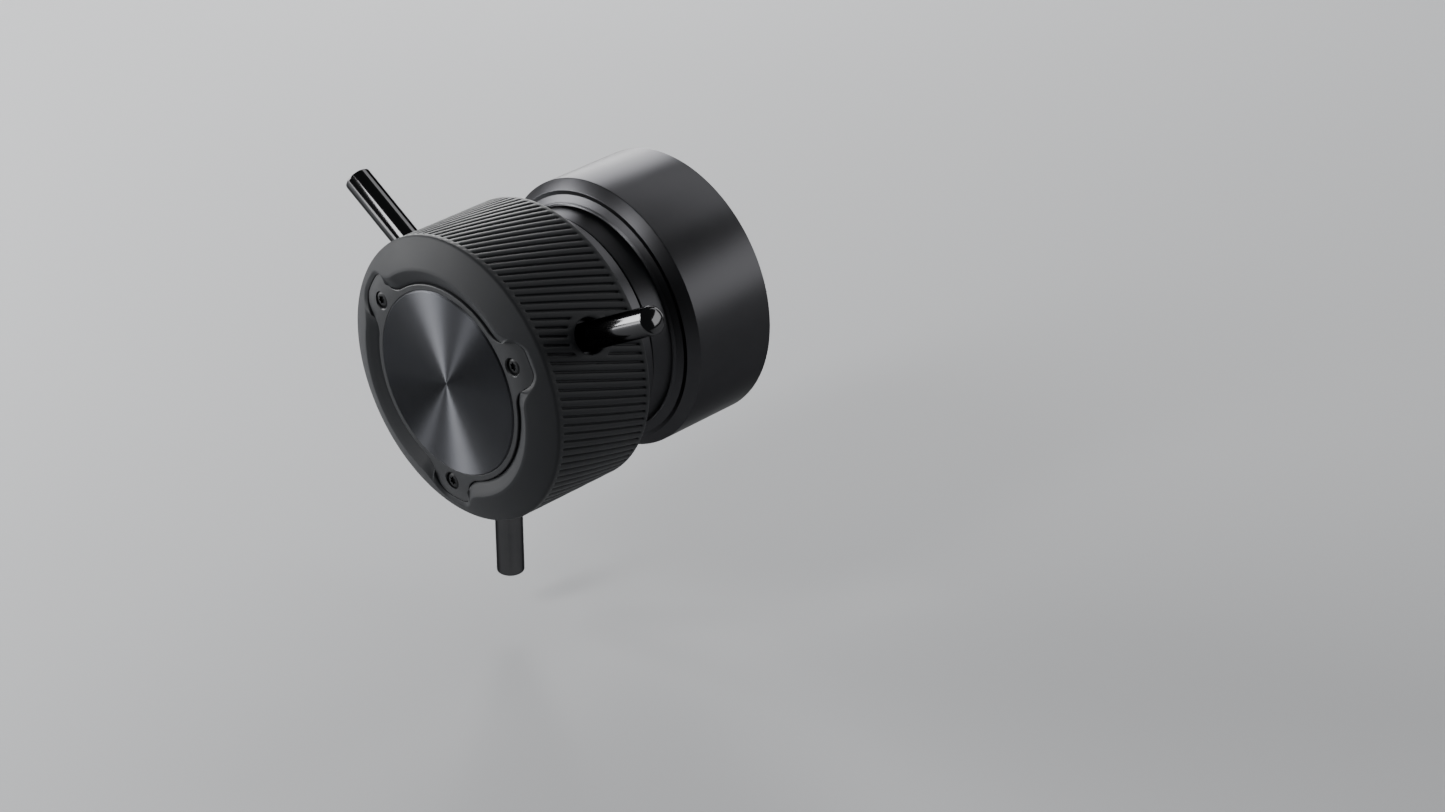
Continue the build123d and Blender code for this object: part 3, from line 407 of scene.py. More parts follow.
@dataclass(frozen=True)
class Felted(Finish):
    """Pressed wool: no gloss of its own, and a pale fuzz at its outline.

    Args:
        sheen: weight of the fuzz.
    """

    sheen: float = 0.5

    def uniform_values(self) -> dict[str, float]:
        """Returns the fuzz."""
        return {"Sheen Weight": self.sheen, "Sheen Roughness": 0.5}


FINISHES: dict[Slot, Finish] = {
    # Thermoplastic rubber with a spark-eroded grain: deep charcoal, with a wide soft highlight
    Slot.RUBBER: Finish("soft_touch_rubber", "2a2b2d", "2e2f31", "38393b", 0.55, specular=0.15,
                        grain_mm=0.22, mottle_mm=18.0, edge_mm=0.3),
    # Zinc casting under satin paint: close to black, with a tighter sheen than the rubber round it
    Slot.PLATE: Finish("satin_painted_zinc", "242527", "28292b", "4a4c4f", 0.38, 0.06, specular=0.25,
                       grain_mm=0.35, grain_height_mm=0.006, mottle_mm=22.0),
    # Aluminium disc faced on a lathe and dyed dark: light gathers in two wedges through its centre
    Slot.BADGE: TurnedMetal("turned_anodised_aluminium", "424346", "47484c", "8d9096", 0.5, 0.03, metallic=1.0,
                            grain_height_mm=0.002, mottle_mm=30.0, edge_mm=0.2),
    # Steel screws, black oxide: dull black with a grey gleam on the rims
    Slot.BLACK_SCREWS: Finish("black_oxide_steel", "101113", "17181a", "4a4c50", 0.38, 0.12, metallic=0.6,
                              grain_mm=0.3, grain_height_mm=0.004, mottle_mm=3.0, edge_mm=0.15),
    # Aluminium, machined and left bright: faint tool marks under a soft grey lustre
    Slot.HUB: Finish("machined_aluminium", "8f9092", "a0a1a3", "c4c5c7", 0.34, 0.1, metallic=1.0, grain_mm=0.25,
                     grain_height_mm=0.006, mottle_mm=12.0),
    # Steel rod under black chrome: a dark mirror, bright only where a light is seen in it
    Slot.PEG: Finish("black_chrome_steel", "4b4b4c", "505051", "7b7c7d", 0.1, 0.02, metallic=1.0,
                     grazing="9a9a9a", grain_mm=1.5, grain_height_mm=0.0001, mottle_mm=9.0, edge_mm=0.2),
    # Steel, ground between centres: bright, with a fine even frost
    Slot.STEEL: Finish("ground_steel", "a3a4a6", "b0b1b3", "d0d1d2", 0.22, 0.08, metallic=1.0, grain_mm=0.15,
                       grain_height_mm=0.003, mottle_mm=8.0),
    # Spring steel, hardened in oil: darker, with brown and blue drifts
    Slot.SPRING: Finish("oiled_spring_steel", "4d4b4c", "5a5450", "85868a", 0.3, 0.1, metallic=1.0, grain_mm=0.2,
                        grain_height_mm=0.003, mottle_mm=5.0),
    # Bearing steel, lapped: nearly a mirror under a film of oil
    Slot.BEARING: Finish("lapped_bearing_steel", "b4b5b7", "bcbdbf", "d8d9da", 0.08, 0.05, metallic=1.0,
                         grain_mm=0.8, grain_height_mm=0.0005, mottle_mm=6.0),
    # Brass, pressed: warm yellow, browned where the oil stands
    Slot.BRASS: Finish("pressed_brass", "b08d4a", "8f6f38", "d9bd7c", 0.26, 0.14, metallic=1.0, grain_mm=0.3,
                       grain_height_mm=0.004, mottle_mm=3.0),
    # Aluminium, bead blasted and dyed black: a fine even bloom with pale lines where an edge was turned
    Slot.DRUM: Finish("black_anodised_aluminium", "3b3b3d", "404042", "7c7d7f", 0.33, 0.05, metallic=1.0,
                      grazing="b8b8b8", grain_mm=0.18, grain_height_mm=0.004, mottle_mm=26.0, edge_mm=0.22),
    # Aluminium, cut and dyed black: the teeth are worn grey along their crests
    Slot.ROSETTE: Finish("worn_anodised_aluminium", "141516", "1b1c1d", "6e7074", 0.36, 0.1, metallic=0.5,
                         grain_mm=0.2, grain_height_mm=0.005, mottle_mm=7.0, edge_mm=0.35),
    # Wool, pressed to felt: dark fibres that take no highlight
    Slot.FELT: Felted("pressed_wool_felt", "1b1b1c", "2a292a", "39383a", 0.95, 0.05, ior=1.3, grain_mm=0.08,
                      grain_height_mm=0.08, mottle_mm=1.2),
    # Steel screws, zinc plated: bright, with a faint warm bloom
    Slot.PLATED: Finish("zinc_plated_steel", "a5a7a8", "b3ad9c", "d2d3d4", 0.28, 0.12, metallic=1.0, grain_mm=0.3,
                        grain_height_mm=0.003, mottle_mm=2.5, edge_mm=0.15),
    # Glass-filled nylon, moulded: black with a dull, slightly pitted skin
    Slot.SENSOR: Finish("glass_filled_nylon", "111112", "18181a", "2c2d2f", 0.5, 0.15, grain_mm=0.12,
                        grain_height_mm=0.012, mottle_mm=4.0),
    # Glass cloth laminate under green lacquer: the cloth's threads show as a faint square relief
    Slot.LAMINATE: Banded("lacquered_laminate", "0f3a20", "14462a", "6f8f5a", 0.22, 0.08, grain_mm=0.4,
                          grain_height_mm=0.004, mottle_mm=9.0, directions=("X", "Z"), band_mm=0.5,
                          band_height_mm=0.008),
    # Polyester film over copper strips: cream, ridged where the strips run
    Slot.FILM: Banded("ribbon_polyester", "cfc8ae", "dad4bf", "e8e4d6", 0.2, 0.08, grain_mm=0.6,
                      grain_height_mm=0.003, mottle_mm=6.0, directions=("X",), band_mm=1.0, band_height_mm=0.05),
    # Steel shell, tin plated: bright grey with soft cloudy patches
    Slot.SOCKET: Finish("tin_plated_steel", "9a9b9d", "a9aaac", "cacbcc", 0.24, 0.1, metallic=1.0, grain_mm=0.35,
                        grain_height_mm=0.003, mottle_mm=3.0, edge_mm=0.15),
    # Nylon, moulded with a fine texture: black and matte, polished on its rim by fingers
    Slot.BUTTON: Finish("moulded_nylon", "131315", "19191b", "2f3033", 0.42, 0.14, grain_mm=0.15,
                        grain_height_mm=0.012, mottle_mm=3.0),
}


def dress_cad_nodes() -> None:
    """Gives each CAD node the finish of its own slot.

    Turned metal needs the radius map, which these nodes don't have, so the plate's finish stands in.
    """
    for part in frame["record"]["subparts"]:
        node = frame["nodes"][part["node"]]
        finish = FINISHES[Slot(part["material_slot"])]
        if isinstance(finish, TurnedMetal):
            finish = FINISHES[Slot.PLATE]
        node.data.materials.clear()
        node.data.materials.append(finish.material())


def rounded(corners: list[Corner], closed: bool = False, steps: int = 4) -> list[Point]:
    """Rounds the corners of an outline.

    Args:
        corners: radius, y and fillet of each corner.
        closed: whether the last corner joins the first.
        steps: pieces of each arc.

    Returns:
        The outline's points.
    """
    points: list[Point] = []
    count = len(corners)
    for index, (radius, y, fillet) in enumerate(corners):
        here = Vector((radius, y))
        if fillet <= 0 or (not closed and index in (0, count - 1)):
            points.append((radius, y))
            continue
        back = (Vector(corners[index - 1][:2]) - here).normalized()
        on = (Vector(corners[(index + 1) % count][:2]) - here).normalized()
        half = back.angle(on) / 2
        centre = here + (back + on).normalized() * fillet / math.sin(half)
        start = here + back * fillet / math.tan(half) - centre
        end = here + on * fillet / math.tan(half) - centre
        sweep = end.angle_signed(start)
        for step in range(steps + 1):
            spoke = Matrix.Rotation(sweep * step / steps, 2) @ start
            points.append(tuple(centre + spoke))
    return points


def spin_outline(points: list[Point], steps: int, closed: bool = False) -> BMesh:
    """Turns an outline about the knob's axis.

    Args:
        points: radius and y of each point.
        steps: how many columns of faces go round.
        closed: whether the last point joins the first.

    Returns:
        A closed mesh with its faces outwards.
    """
    bm = bmesh.new()
    verts = [bm.verts.new((radius, y, 0)) for radius, y in points]
    ends = verts[1:] + (verts[:1] if closed else [])
    for a, b in zip(verts, ends):
        bm.edges.new((a, b))
    doublings = next(power for power in (4, 3, 2, 1, 0) if steps % 2 ** power == 0)
    sector = math.tau / 2 ** doublings
    bmesh.ops.spin(bm, geom=bm.verts[:] + bm.edges[:], cent=(0, 0, 0), axis=(0, 1, 0), dvec=(0, 0, 0),
                   angle=sector, steps=steps // 2 ** doublings, space=Matrix(), use_merge=doublings == 0,
                   use_normal_flip=False, use_duplicate=False)
    for power in range(doublings):
        copied = bmesh.ops.duplicate(bm, geom=bm.verts[:] + bm.edges[:] + bm.faces[:])
        verts = [item for item in copied["geom"] if isinstance(item, bmesh.types.BMVert)]
        turn = Matrix.Rotation(sector * 2 ** power, 3, "Y")
        bmesh.ops.rotate(bm, cent=(0, 0, 0), matrix=turn, verts=verts)
    bmesh.ops.remove_doubles(bm, verts=bm.verts, dist=WELD)
    bmesh.ops.recalc_face_normals(bm, faces=bm.faces)
    return bm


def lathe(corners: list[Corner], steps: int = 192, closed: bool = False, arc: int = 4) -> BMesh:
    """Turns a piece from an outline with rounded corners.

    Args:
        corners: radius, y and fillet of each corner.
        steps: how many columns of faces go round.
        closed: whether the last corner joins the first, as in a ring.
        arc: pieces of each fillet.

    Returns:
        The closed mesh.
    """
    return spin_outline(rounded(corners, closed, arc), steps, closed)


def spin_form(profile: Callable[[float], list[Point] | list[Row]], steps: int, closed: bool) -> BMesh:
    """Turns a form whose outline changes round the axis, such as ribs, lobes or teeth.

    Args:
        profile: gives the outline's points or rows at an angle in degrees, always as many.
        steps: how many columns of faces go round.
        closed: whether the outline's last point joins its first.

    Returns:
        The closed mesh.
    """
    first = profile(0.0)
    bm = spin_outline([point[:2] for point in first], steps, closed)
    rows = KDTree(len(first))
    for index, point in enumerate(first):
        rows.insert((point[0], point[1], 0), index)
    rows.balance()
    columns: dict[int, list[Point] | list[Row]] = {}
    for vert in bm.verts:
        reach = math.hypot(vert.co.x, vert.co.z)
        if reach < WELD:
            continue
        _, row, _ = rows.find((reach, vert.co.y, 0))
        turn = math.degrees(math.atan2(vert.co.z, vert.co.x)) % 360
        column = round(turn * steps / 360) % steps
        if column not in columns:
            columns[column] = profile(column * 360 / steps)
        point = columns[column][row]
        angle = math.radians(column * 360 / steps + (point[2] if len(point) > 2 else 0))
        vert.co = (point[0] * math.cos(angle), point[1], point[0] * math.sin(angle))
    bmesh.ops.recalc_face_normals(bm, faces=bm.faces)
    return bm


def prism(sides: int, reach: Callable[[float], float], front: float, rear: float, spread: float = 0.0) -> BMesh:
    """Makes a bar along the axis whose outline is given by its reach at each angle.

    Args:
        sides: how many points the outline has.
        reach: gives the distance from the bar's axis at an angle in radians.
        front: place of its front.
        rear: place of its rear.
        spread: how much further the outline reaches at the rear.

    Returns:
        The closed mesh.
    """
    bm = bmesh.new()
    turn_up = Matrix.Rotation(math.pi / 2, 4, "X")
    bmesh.ops.create_circle(bm, cap_ends=True, radius=1, segments=sides, matrix=turn_up)
    ends = bm.verts[:]
    grown = bmesh.ops.extrude_face_region(bm, geom=bm.faces[:])
    far = {item for item in grown["geom"] if isinstance(item, bmesh.types.BMVert)}
    for vert in ends + list(far):
        turn = math.atan2(vert.co.z, vert.co.x)
        size = reach(turn) + (spread if vert in far else 0)
        vert.co = (size * math.cos(turn), rear if vert in far else front, size * math.sin(turn))
    bmesh.ops.recalc_face_normals(bm, faces=bm.faces)
    return bm


def polygon_reach(sides: int, half_width: float) -> Callable[[float], float]:
    """Returns the reach of a regular polygon at an angle in radians."""
    return lambda turn: half_width / math.cos((turn + math.pi / sides) % (math.tau / sides) - math.pi / sides)


def stadium_reach(half_width: float, half_height: float) -> Callable[[float], float]:
    """Gives the outline of an upright slot with round ends.

    Args:
        half_width: half of the slot's width, and its ends' radius.
        half_height: half of its height.

    Returns:
        The function that gives its reach at an angle in radians.
    """
    straight = half_height - half_width

    def reach(turn: float) -> float:
        """Gives the slot's reach.

        Args:
            turn: the angle in radians.

        Returns:
            The distance from the slot's middle to its edge.
        """
        across, up = abs(math.cos(turn)), abs(math.sin(turn))
        if across * straight >= up * half_width:
            return half_width / across
        return straight * up + math.sqrt(half_width ** 2 - (straight * across) ** 2)

    return reach


def along_stops(stops: tuple[Point, ...], place: float) -> float:
    """Reads a value off a line of stops.

    Args:
        stops: places and their values. The last value holds beyond its place.
        place: where it is read.

    Returns:
        The value.
    """
    for (a, start), (b, end) in zip(stops, stops[1:]):
        if place <= b:
            return start + (end - start) * (place - a) / (b - a)
    return stops[-1][1]


def from_nearest(angle: float, lobes: tuple[float, ...]) -> float:
    """Returns the degrees from the nearest lobe to an angle."""
    return min(((angle - lobe + 180) % 360 - 180 for lobe in lobes), key=abs)


def moved(bm: BMesh, matrix: Matrix) -> BMesh:
    """Moves a whole mesh."""
    bmesh.ops.transform(bm, matrix=matrix, verts=bm.verts)
    return bm


def at(radius: float, angle: float) -> Matrix:
    """Returns the move from the axis to a radius and angle about it."""
    turn = math.radians(angle)
    return Matrix.Translation((radius * math.cos(turn), 0, radius * math.sin(turn)))


def along_radius(angle: float, y: float) -> Matrix:
    """Lays a piece that is made along +Y on a radius of the knob.

    Args:
        angle: the radius's angle in degrees.
        y: where it leaves the axis.

    Returns:
        The turn and move.
    """
    turn = math.radians(angle)
    out = Vector((math.cos(turn), 0, math.sin(turn)))
    side = Vector((0, 1, 0))
    third = side.cross(out)
    basis = Matrix((side, out, third)).transposed().to_4x4()
    return Matrix.Translation((0, y, 0)) @ basis


def merged(parts: list[BMesh]) -> BMesh:
    """Puts several meshes in the first one and frees the others.

    Args:
        parts: the meshes.

    Returns:
        The first, with all of them in it.
    """
    whole = parts[0]
    for part in parts[1:]:
        mesh = bpy.data.meshes.new("part")
        part.to_mesh(mesh)
        part.free()
        whole.from_mesh(mesh)
        bpy.data.meshes.remove(mesh)
    return whole


def scratch_object(bm: BMesh, name: str) -> bpy.types.Object:
    """Turns a mesh into an object that is used for one cut and then removed.

    Args:
        bm: the mesh, which is freed.
        name: the object's name.

    Returns:
        The object.
    """
    mesh = bpy.data.meshes.new(name)
    bm.to_mesh(mesh)
    bm.free()
    thing = bpy.data.objects.new(name, mesh)
    bpy.context.scene.collection.objects.link(thing)
    return thing


def carve(bm: BMesh, cutters: list[BMesh]) -> BMesh:
    """Cuts closed meshes out of another.

    Args:
        bm: the mesh that is cut.
        cutters: what is taken out of it.

    Returns:
        The cut mesh.
    """
    body = scratch_object(bm, "carved")
    tool = scratch_object(merged(cutters), "cutter")
    cut = body.modifiers.new("cut", "BOOLEAN")
    cut.operation = "DIFFERENCE"
    cut.solver = "MANIFOLD"
    cut.object = tool
    graph = bpy.context.evaluated_depsgraph_get()
    mesh = bpy.data.meshes.new_from_object(body.evaluated_get(graph))
    result = bmesh.new()
    result.from_mesh(mesh)
    for thing in (body, tool):
        old = thing.data
        bpy.data.objects.remove(thing)
        bpy.data.meshes.remove(old)
    bpy.data.meshes.remove(mesh)
    bmesh.ops.remove_doubles(result, verts=result.verts, dist=WELD)
    return result


def place_piece(bm: BMesh, name: str, body: Body, slot: Slot, *nodes: str) -> None:
    """Makes a finished piece from a mesh in millimetres.

    Args:
        bm: the mesh, which is freed.
        name: the piece's name.
        body: the body that it rides on.
        slot: the material slot that it takes its finish from.
        nodes: the CAD nodes that it stands for.
    """
    mesh = bpy.data.meshes.new(name)
    bm.to_mesh(mesh)
    bm.free()
    mesh.transform(TO_FRAME)
    mesh.shade_smooth()
    mesh.set_sharp_from_angle(angle=SHARP)
    mesh.materials.append(FINISHES[slot].material())
    piece = bpy.data.objects.new(name, mesh)
    bpy.context.scene.collection.objects.link(piece)
    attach(piece, body.value)
    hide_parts(*nodes)
    log.info("%s: %d faces", name, len(mesh.polygons))


@dataclass(frozen=True)
class LobedOutline:
    """A disc with three tapering tabs, smooth at the tabs' feet and corners.

    Args:
        disc: the disc's radius.
        tip: the tabs' reach from the axis.
        foot_width: a tab's width where it leaves the plate's disc.
        tip_width: its width at its tip.
        foot: how far from the axis the foot is measured.
        corner: radius of the tab's corners.
        fillet: radius where the tab meets the disc.
        growth: how far the tabs are grown outwards.
    """

    disc: float
    tip: float
    foot_width: float
    tip_width: float
    foot: float
    corner: float
    fillet: float
    growth: float = 0.0

    def distance(self, out: float, side: float) -> float:
        """Signed distance to the outline.

        Args:
            out: place along the tab's middle line.
            side: place across it.

        Returns:
            Millimetres, negative inside.
        """
        side = abs(side)
        run = Vector((self.tip - self.foot, (self.tip_width - self.foot_width) / 2)).normalized()
        flank = (side - self.foot_width / 2) * run.x - (out - self.foot) * run.y + self.corner
        end = math.hypot(out, side) - self.tip + self.corner
        tab = min(max(flank, end), 0) + math.hypot(max(flank, 0), max(end, 0)) - self.corner - self.growth
        disc = math.hypot(out, side) - self.disc
        blend = math.hypot(max(self.fillet - tab, 0), max(self.fillet - disc, 0))
        return max(self.fillet, min(tab, disc)) - blend

    def reach(self, angle: float, lobes: tuple[float, ...]) -> float:
        """Finds how far the outline is from the axis at an angle.

        It halves the span between a place that is surely inside and one that is surely outside.

        Args:
            angle: degrees about the axis.
            lobes: the angles of the tabs.

        Returns:
            The distance in millimetres.
        """
        turn = math.radians(abs(from_nearest(angle, lobes)))
        low, high = self.disc * 0.9, self.tip + self.growth + 2
        for _ in range(HALVINGS):
            middle = (low + high) / 2
            if self.distance(middle * math.cos(turn), middle * math.sin(turn)) < 0:
                low = middle
            else:
                high = middle
        return low


@dataclass
class Face:
    """The knob's front: the nearly straight cone of the moulded ring, and the plate in its pocket.

    Between the lobes the foot of the pocket's bevel lies bevel_foot deeper. Towards a lobe that fades
    out over the last foot_fade before the pocket's wall reaches the lip's radius.
    """

    lobes: tuple[float, ...] = (30.0, 150.0, 270.0)
    lip_radius: float = 32.9
    crown_radius: float = 60.0
    crown_slope: float = 21.4
    shoulder_radius: float = 1.2
    groove_front: float = 5.1
    plate_radius: float = 28.64
    plate_setback: float = 0.35
    plate_crown_radius: float = 23.0
    bevel_width: float = 1.5
    bevel_depth: float = 0.9
    bevel_foot: float = 0.9
    foot_fade: float = 1.5
    foot_width: float = 15.4
    tip_width: float = 11.2
    lobe_corner: float = 2.6
    plate_fillet: float = 2.6
    pocket_fillet: float = 2.5
    rim_fillet: float = 3.2
    gap: float = 0.1

    def __post_init__(self) -> None:
        """Works out the arcs' centres and the outlines from the frame."""
        sleeve = Extent.of("grip_sleeve")
        self.radius = sleeve.radius
        self.lip_y = sleeve.front
        self.rear = sleeve.rear
        self.tip = -Extent.of("badge_carrier").low.z
        slope = math.radians(self.crown_slope)
        self.crown_x = self.lip_radius - self.crown_radius * math.sin(slope)
        self.crown_y = self.crown_radius * math.cos(slope) + self.lip_y
        self.shoulder_x = self.radius - self.shoulder_radius
        spread = self.crown_radius - self.shoulder_radius
        self.joint_slope = math.asin((self.shoulder_x - self.crown_x) / spread)
        self.shoulder_y = self.crown_y - spread * math.cos(self.joint_slope)
        self.joint_radius = self.crown_x + self.crown_radius * math.sin(self.joint_slope)
        foot = math.sqrt(self.plate_radius ** 2 - (self.foot_width / 2) ** 2)
        shape = (self.foot_width, self.tip_width, foot, self.lobe_corner)
        self.plate_outline = LobedOutline(self.plate_radius, self.tip, *shape, self.plate_fillet)
        self.pocket_outline = LobedOutline(self.plate_radius + self.gap, self.tip, *shape, self.pocket_fillet,
                                           self.gap)
        self.rim_outline = LobedOutline(self.lip_radius, self.tip, *shape, self.rim_fillet, self.bevel_width)

    def crown(self, radius: float) -> float:
        """Place of the ring's front at a radius: its cone is really an arc of a wide radius."""
        return self.crown_y - math.sqrt(self.crown_radius ** 2 - (radius - self.crown_x) ** 2)

    def plate_surface(self, radius: float) -> float:
        """Place of the plate's front at a radius, which falls away along the lobes."""
        out = max(radius - self.plate_radius, 0.0)
        return self.plate_setback + self.plate_crown_radius - math.sqrt(self.plate_crown_radius ** 2 - out ** 2)


@dataclass
class GripSleeve:
    """The moulded sleeve: the ring's cone and tight edge, bevelled pocket, slanted ribs and pegs' holes.

    A groove's section is half of it: the distance from its middle line, and the share of the depth.
    """

    face: Face
    rib_count: int = 102
    slant: float = 19.4
    groove_depth: float = 0.8
    groove_margin: float = 1.6
    groove_section: tuple[Point, ...] = ((0.0, 1.0), (0.2, 0.97), (0.33, 0.6), (0.45, 0.2), (0.63, 0.06))
    pad_radius: float = 7.4
    least_half_pad: float = 2.3
    hole_radius: float = 5.1
    mouth_radius: float = 6.35
    mouth_depth: float = 0.5
    rear_fillet: float = 0.8
    crease_height: float = 0.08
    crease_width: float = 0.25
    foot_round: Point = (0.14, 0.04)
    lip_round: tuple[float, ...] = (0.16, 0.05, 0.03, 0.12)
    pad_margin: float = 0.3
    ring_spans: int = 9
    pad_spans: int = 7
    groove_spans: int = 4
    fillet_spans: int = 4
    bore_spans: int = 8

    def __post_init__(self) -> None:
        """Reads the pegs' place from the frame and works out how the ribs lean."""
        peg = Extent.of("grip_peg_lower")
        self.peg_y = (peg.low.y + peg.high.y) / 2
        self.pitch = 360 / self.rib_count
        self.columns = self.rib_count * 2 * len(self.groove_section)
        self.half_pitch = math.pi / self.rib_count * self.face.radius
        self.hub_radius = Extent.of("knob_hub").radius
        self.pocket_floor = Extent.of("hub_face").front
        self.lean = math.tan(math.radians(self.slant))
        column = 360 / self.columns
        self.phase = round(self.lag(self.peg_y) / column) * column

    def lag(self, y: float) -> float:
        """Degrees that the slant has turned a rib back at y. In front of the shoulder's end it is none."""
        return math.degrees(self.lean * max(y - self.face.shoulder_y, 0.0) / self.face.radius)

    def build(self) -> None:
        """Makes the sleeve."""
        bm = spin_form(self.profile, self.columns, closed=True)
        holes = [moved(self.hole_cutter(), along_radius(angle, self.peg_y)) for angle in self.face.lobes]
        place_piece(carve(bm, holes), "sleeve_moulding", Body.KNOB, Slot.RUBBER, "grip_sleeve")

    def hole_cutter(self) -> BMesh:
        """Makes a bar with a flared end, which opens a peg's hole and countersinks its mouth.

        Returns:
            The bar, along +Y.
        """
        outer = self.face.radius
        inside, outside = outer / 2, outer + 3
        return lathe([
            (0, inside, 0), (self.hole_radius, inside, 0), (self.hole_radius, outer - self.mouth_depth, 0.3),
            (self.mouth_radius, outer, 0.1), (self.mouth_radius + 0.3, outside, 0), (0, outside, 0),
        ], 96)

    def profile(self, angle: float) -> list[Row]:
        """Outline of the sleeve at an angle, from the pocket's floor round to its bore.

        Args:
            angle: degrees about the axis.

        Returns:
            Radius, y and the columns' shift in degrees at each row.
        """
        face = self.face
        turn, across = self.column_shift(angle)
        rows = [(radius, y, 0.0) for radius, y in self.face_rows(angle)]
        rows += [(radius, y, turn * share) for radius, y, share in self.shoulder_rows()]
        rows += [(radius, y, turn - self.lag(y)) for radius, y in self.side_rows(angle + turn, across)]
        fillet = self.rear_fillet
        rest = []
        for step in range(self.fillet_spans + 1):
            bend = math.radians(90 * step / self.fillet_spans)
            rest.append((face.radius - fillet * (1 - math.cos(bend)), face.rear - fillet + fillet * math.sin(bend)))
        hook, bore = SKIRT_RADIUS + face.gap, self.hub_radius + face.gap
        end = face.rear - HOOK_DEPTH
        rest += [(hook, face.rear), (hook, end)]
        rest += [(bore, end + (self.pocket_floor - end) * step / self.bore_spans)
                 for step in range(self.bore_spans + 1)]
        return rows + [(radius, y, -self.lag(y)) for radius, y in rest]

    def column_shift(self, angle: float) -> tuple[float, float]:
        """Finds how far a column moves, so that the columns gather at the walls of a groove.

        Args:
            angle: a column's even place, in degrees.

        Returns:
            Its shift in degrees, and its distance from the groove's middle in millimetres.
        """
        share = ((angle - self.face.lobes[0] - self.phase) / self.pitch + 0.5) % 1 - 0.5
        stops = [distance for distance, _ in self.groove_section] + [self.half_pitch]
        across = stops[round(abs(share) * 2 * (len(stops) - 1))]
        even = share * 2 * self.half_pitch
        return math.degrees((math.copysign(across, share) - even) / self.face.radius), across

    def face_rows(self, angle: float) -> list[Point]:
        """Rows of the pocket's wall, its bevel and the ring's cone.

        The bevel's foot lies on the deeper of two surfaces, with a soft crease where they cross: a cone
        from the plate's edge to the lip, and a step below the ring's front.

        Args:
            angle: degrees about the axis.

        Returns:
            Radius and y of each row.
        """
        face = self.face
        inner = face.pocket_outline.reach(angle, face.lobes)
        rim = face.rim_outline.reach(angle, face.lobes)
        out, span = inner - face.plate_radius, face.lip_radius - face.plate_radius
        cone = face.plate_setback + out * (face.lip_y - face.plate_setback) / span
        cone += face.bevel_foot * min(max((face.lip_radius - inner) / face.foot_fade, 0.0), 1.0)
        step = face.crown(inner) + face.bevel_depth
        crease = self.crease_height * math.exp(-((cone - step) / self.crease_width) ** 2)
        foot, lip = Vector((inner, max(cone, step) + crease)), Vector((rim, face.crown(rim)))
        slope, down = (lip - foot).normalized(), Vector((0, 1))
        wide, tight = self.foot_round
        rows = [(inner, self.pocket_floor), tuple(foot + down * wide),
                tuple(foot + slope * tight + down * tight), tuple(foot + slope * wide)]
        rows += [tuple(foot.lerp(lip, share)) for share in (0.33, 0.66)]
        wide, tight, dip, on = self.lip_round
        rows += [tuple(lip - slope * wide), tuple(lip - slope * tight + down * dip)]
        start = rim + on
        for index in range(self.ring_spans):
            radius = start + (face.joint_radius - start) * index / self.ring_spans
            rows.append((radius, face.crown(radius)))
        return rows

    def shoulder_rows(self) -> list[Row]:
        """Rows of the shoulder's arc.

        Returns:
            Radius, y and how far the columns have gathered, from 0 to 1.
        """
        face = self.face
        rows = []
        for index in range(self.ring_spans):
            share = index / self.ring_spans
            bend = face.joint_slope + (math.pi / 2 - face.joint_slope) * share
            rows.append((face.shoulder_x + face.shoulder_radius * math.sin(bend),
                         face.shoulder_y - face.shoulder_radius * math.cos(bend), share))
        return rows

    def side_rows(self, angle: float, across: float) -> list[Point]:
        """Rows of the ribbed side, gathered at each groove's ends.

        Level with a peg the groove is broken by a plain pad, unless its line passes the pad by.

        Args:
            angle: the column's place, in degrees.
            across: its distance from the groove's middle.

        Returns:
            Radius and y of each row.
        """
        face = self.face
        radius = face.radius
        front, rear = face.groove_front, face.rear - self.groove_margin
        groove = round((angle - face.lobes[0] - self.phase) / self.pitch) * self.pitch + face.lobes[0] + self.phase
        reach = self.pad_radius * math.hypot(1, self.lean)
        offset = self.pad_offset(angle)
        half = math.sqrt(max(reach ** 2 - offset ** 2, self.least_half_pad ** 2))
        broken = abs(self.pad_offset(groove)) < math.sqrt(reach ** 2 - self.least_half_pad ** 2)
        middle = self.peg_y + max(min(offset, reach), -reach) * self.lean / (1 + self.lean ** 2)
        half /= 1 + self.lean ** 2
        near, far = middle - half, middle + half
        spreads = [distance for distance, _ in reversed(self.groove_section)]
        cap = spreads[1]
        rows = []
        for start, end in ((front, near), (far, rear)):
            places = [start + cap - spread for spread in spreads]
            places += [start + cap + (end - start - 2 * cap) * share / self.groove_spans
                       for share in range(1, self.groove_spans)]
            places += [end - cap + spread for spread in reversed(spreads)]
            for y in places:
                past = max(start + cap - y if start == front or broken else 0,
                           y - end + cap if end == rear or broken else 0, 0)
                rows.append((radius - self.depth(math.hypot(across, past)), y))
            if start == front:
                first, last = near + self.pad_margin, far - self.pad_margin
                pad = radius - self.depth(math.hypot(across, self.half_pitch if broken else 0))
                rows += [(pad, first + (last - first) * index / self.pad_spans)
                         for index in range(1, self.pad_spans)]
        return rows

    def pad_offset(self, angle: float) -> float:
        """Millimetres round the side from the nearest peg to a rib's line, level with the pegs."""
        return math.radians(from_nearest(angle - self.phase, self.face.lobes)) * self.face.radius

    def depth(self, distance: float) -> float:
        """Depth below the full radius, from the distance to a groove's middle line."""
        return self.groove_depth * along_stops((*self.groove_section, (self.half_pitch, 0.0)), distance)


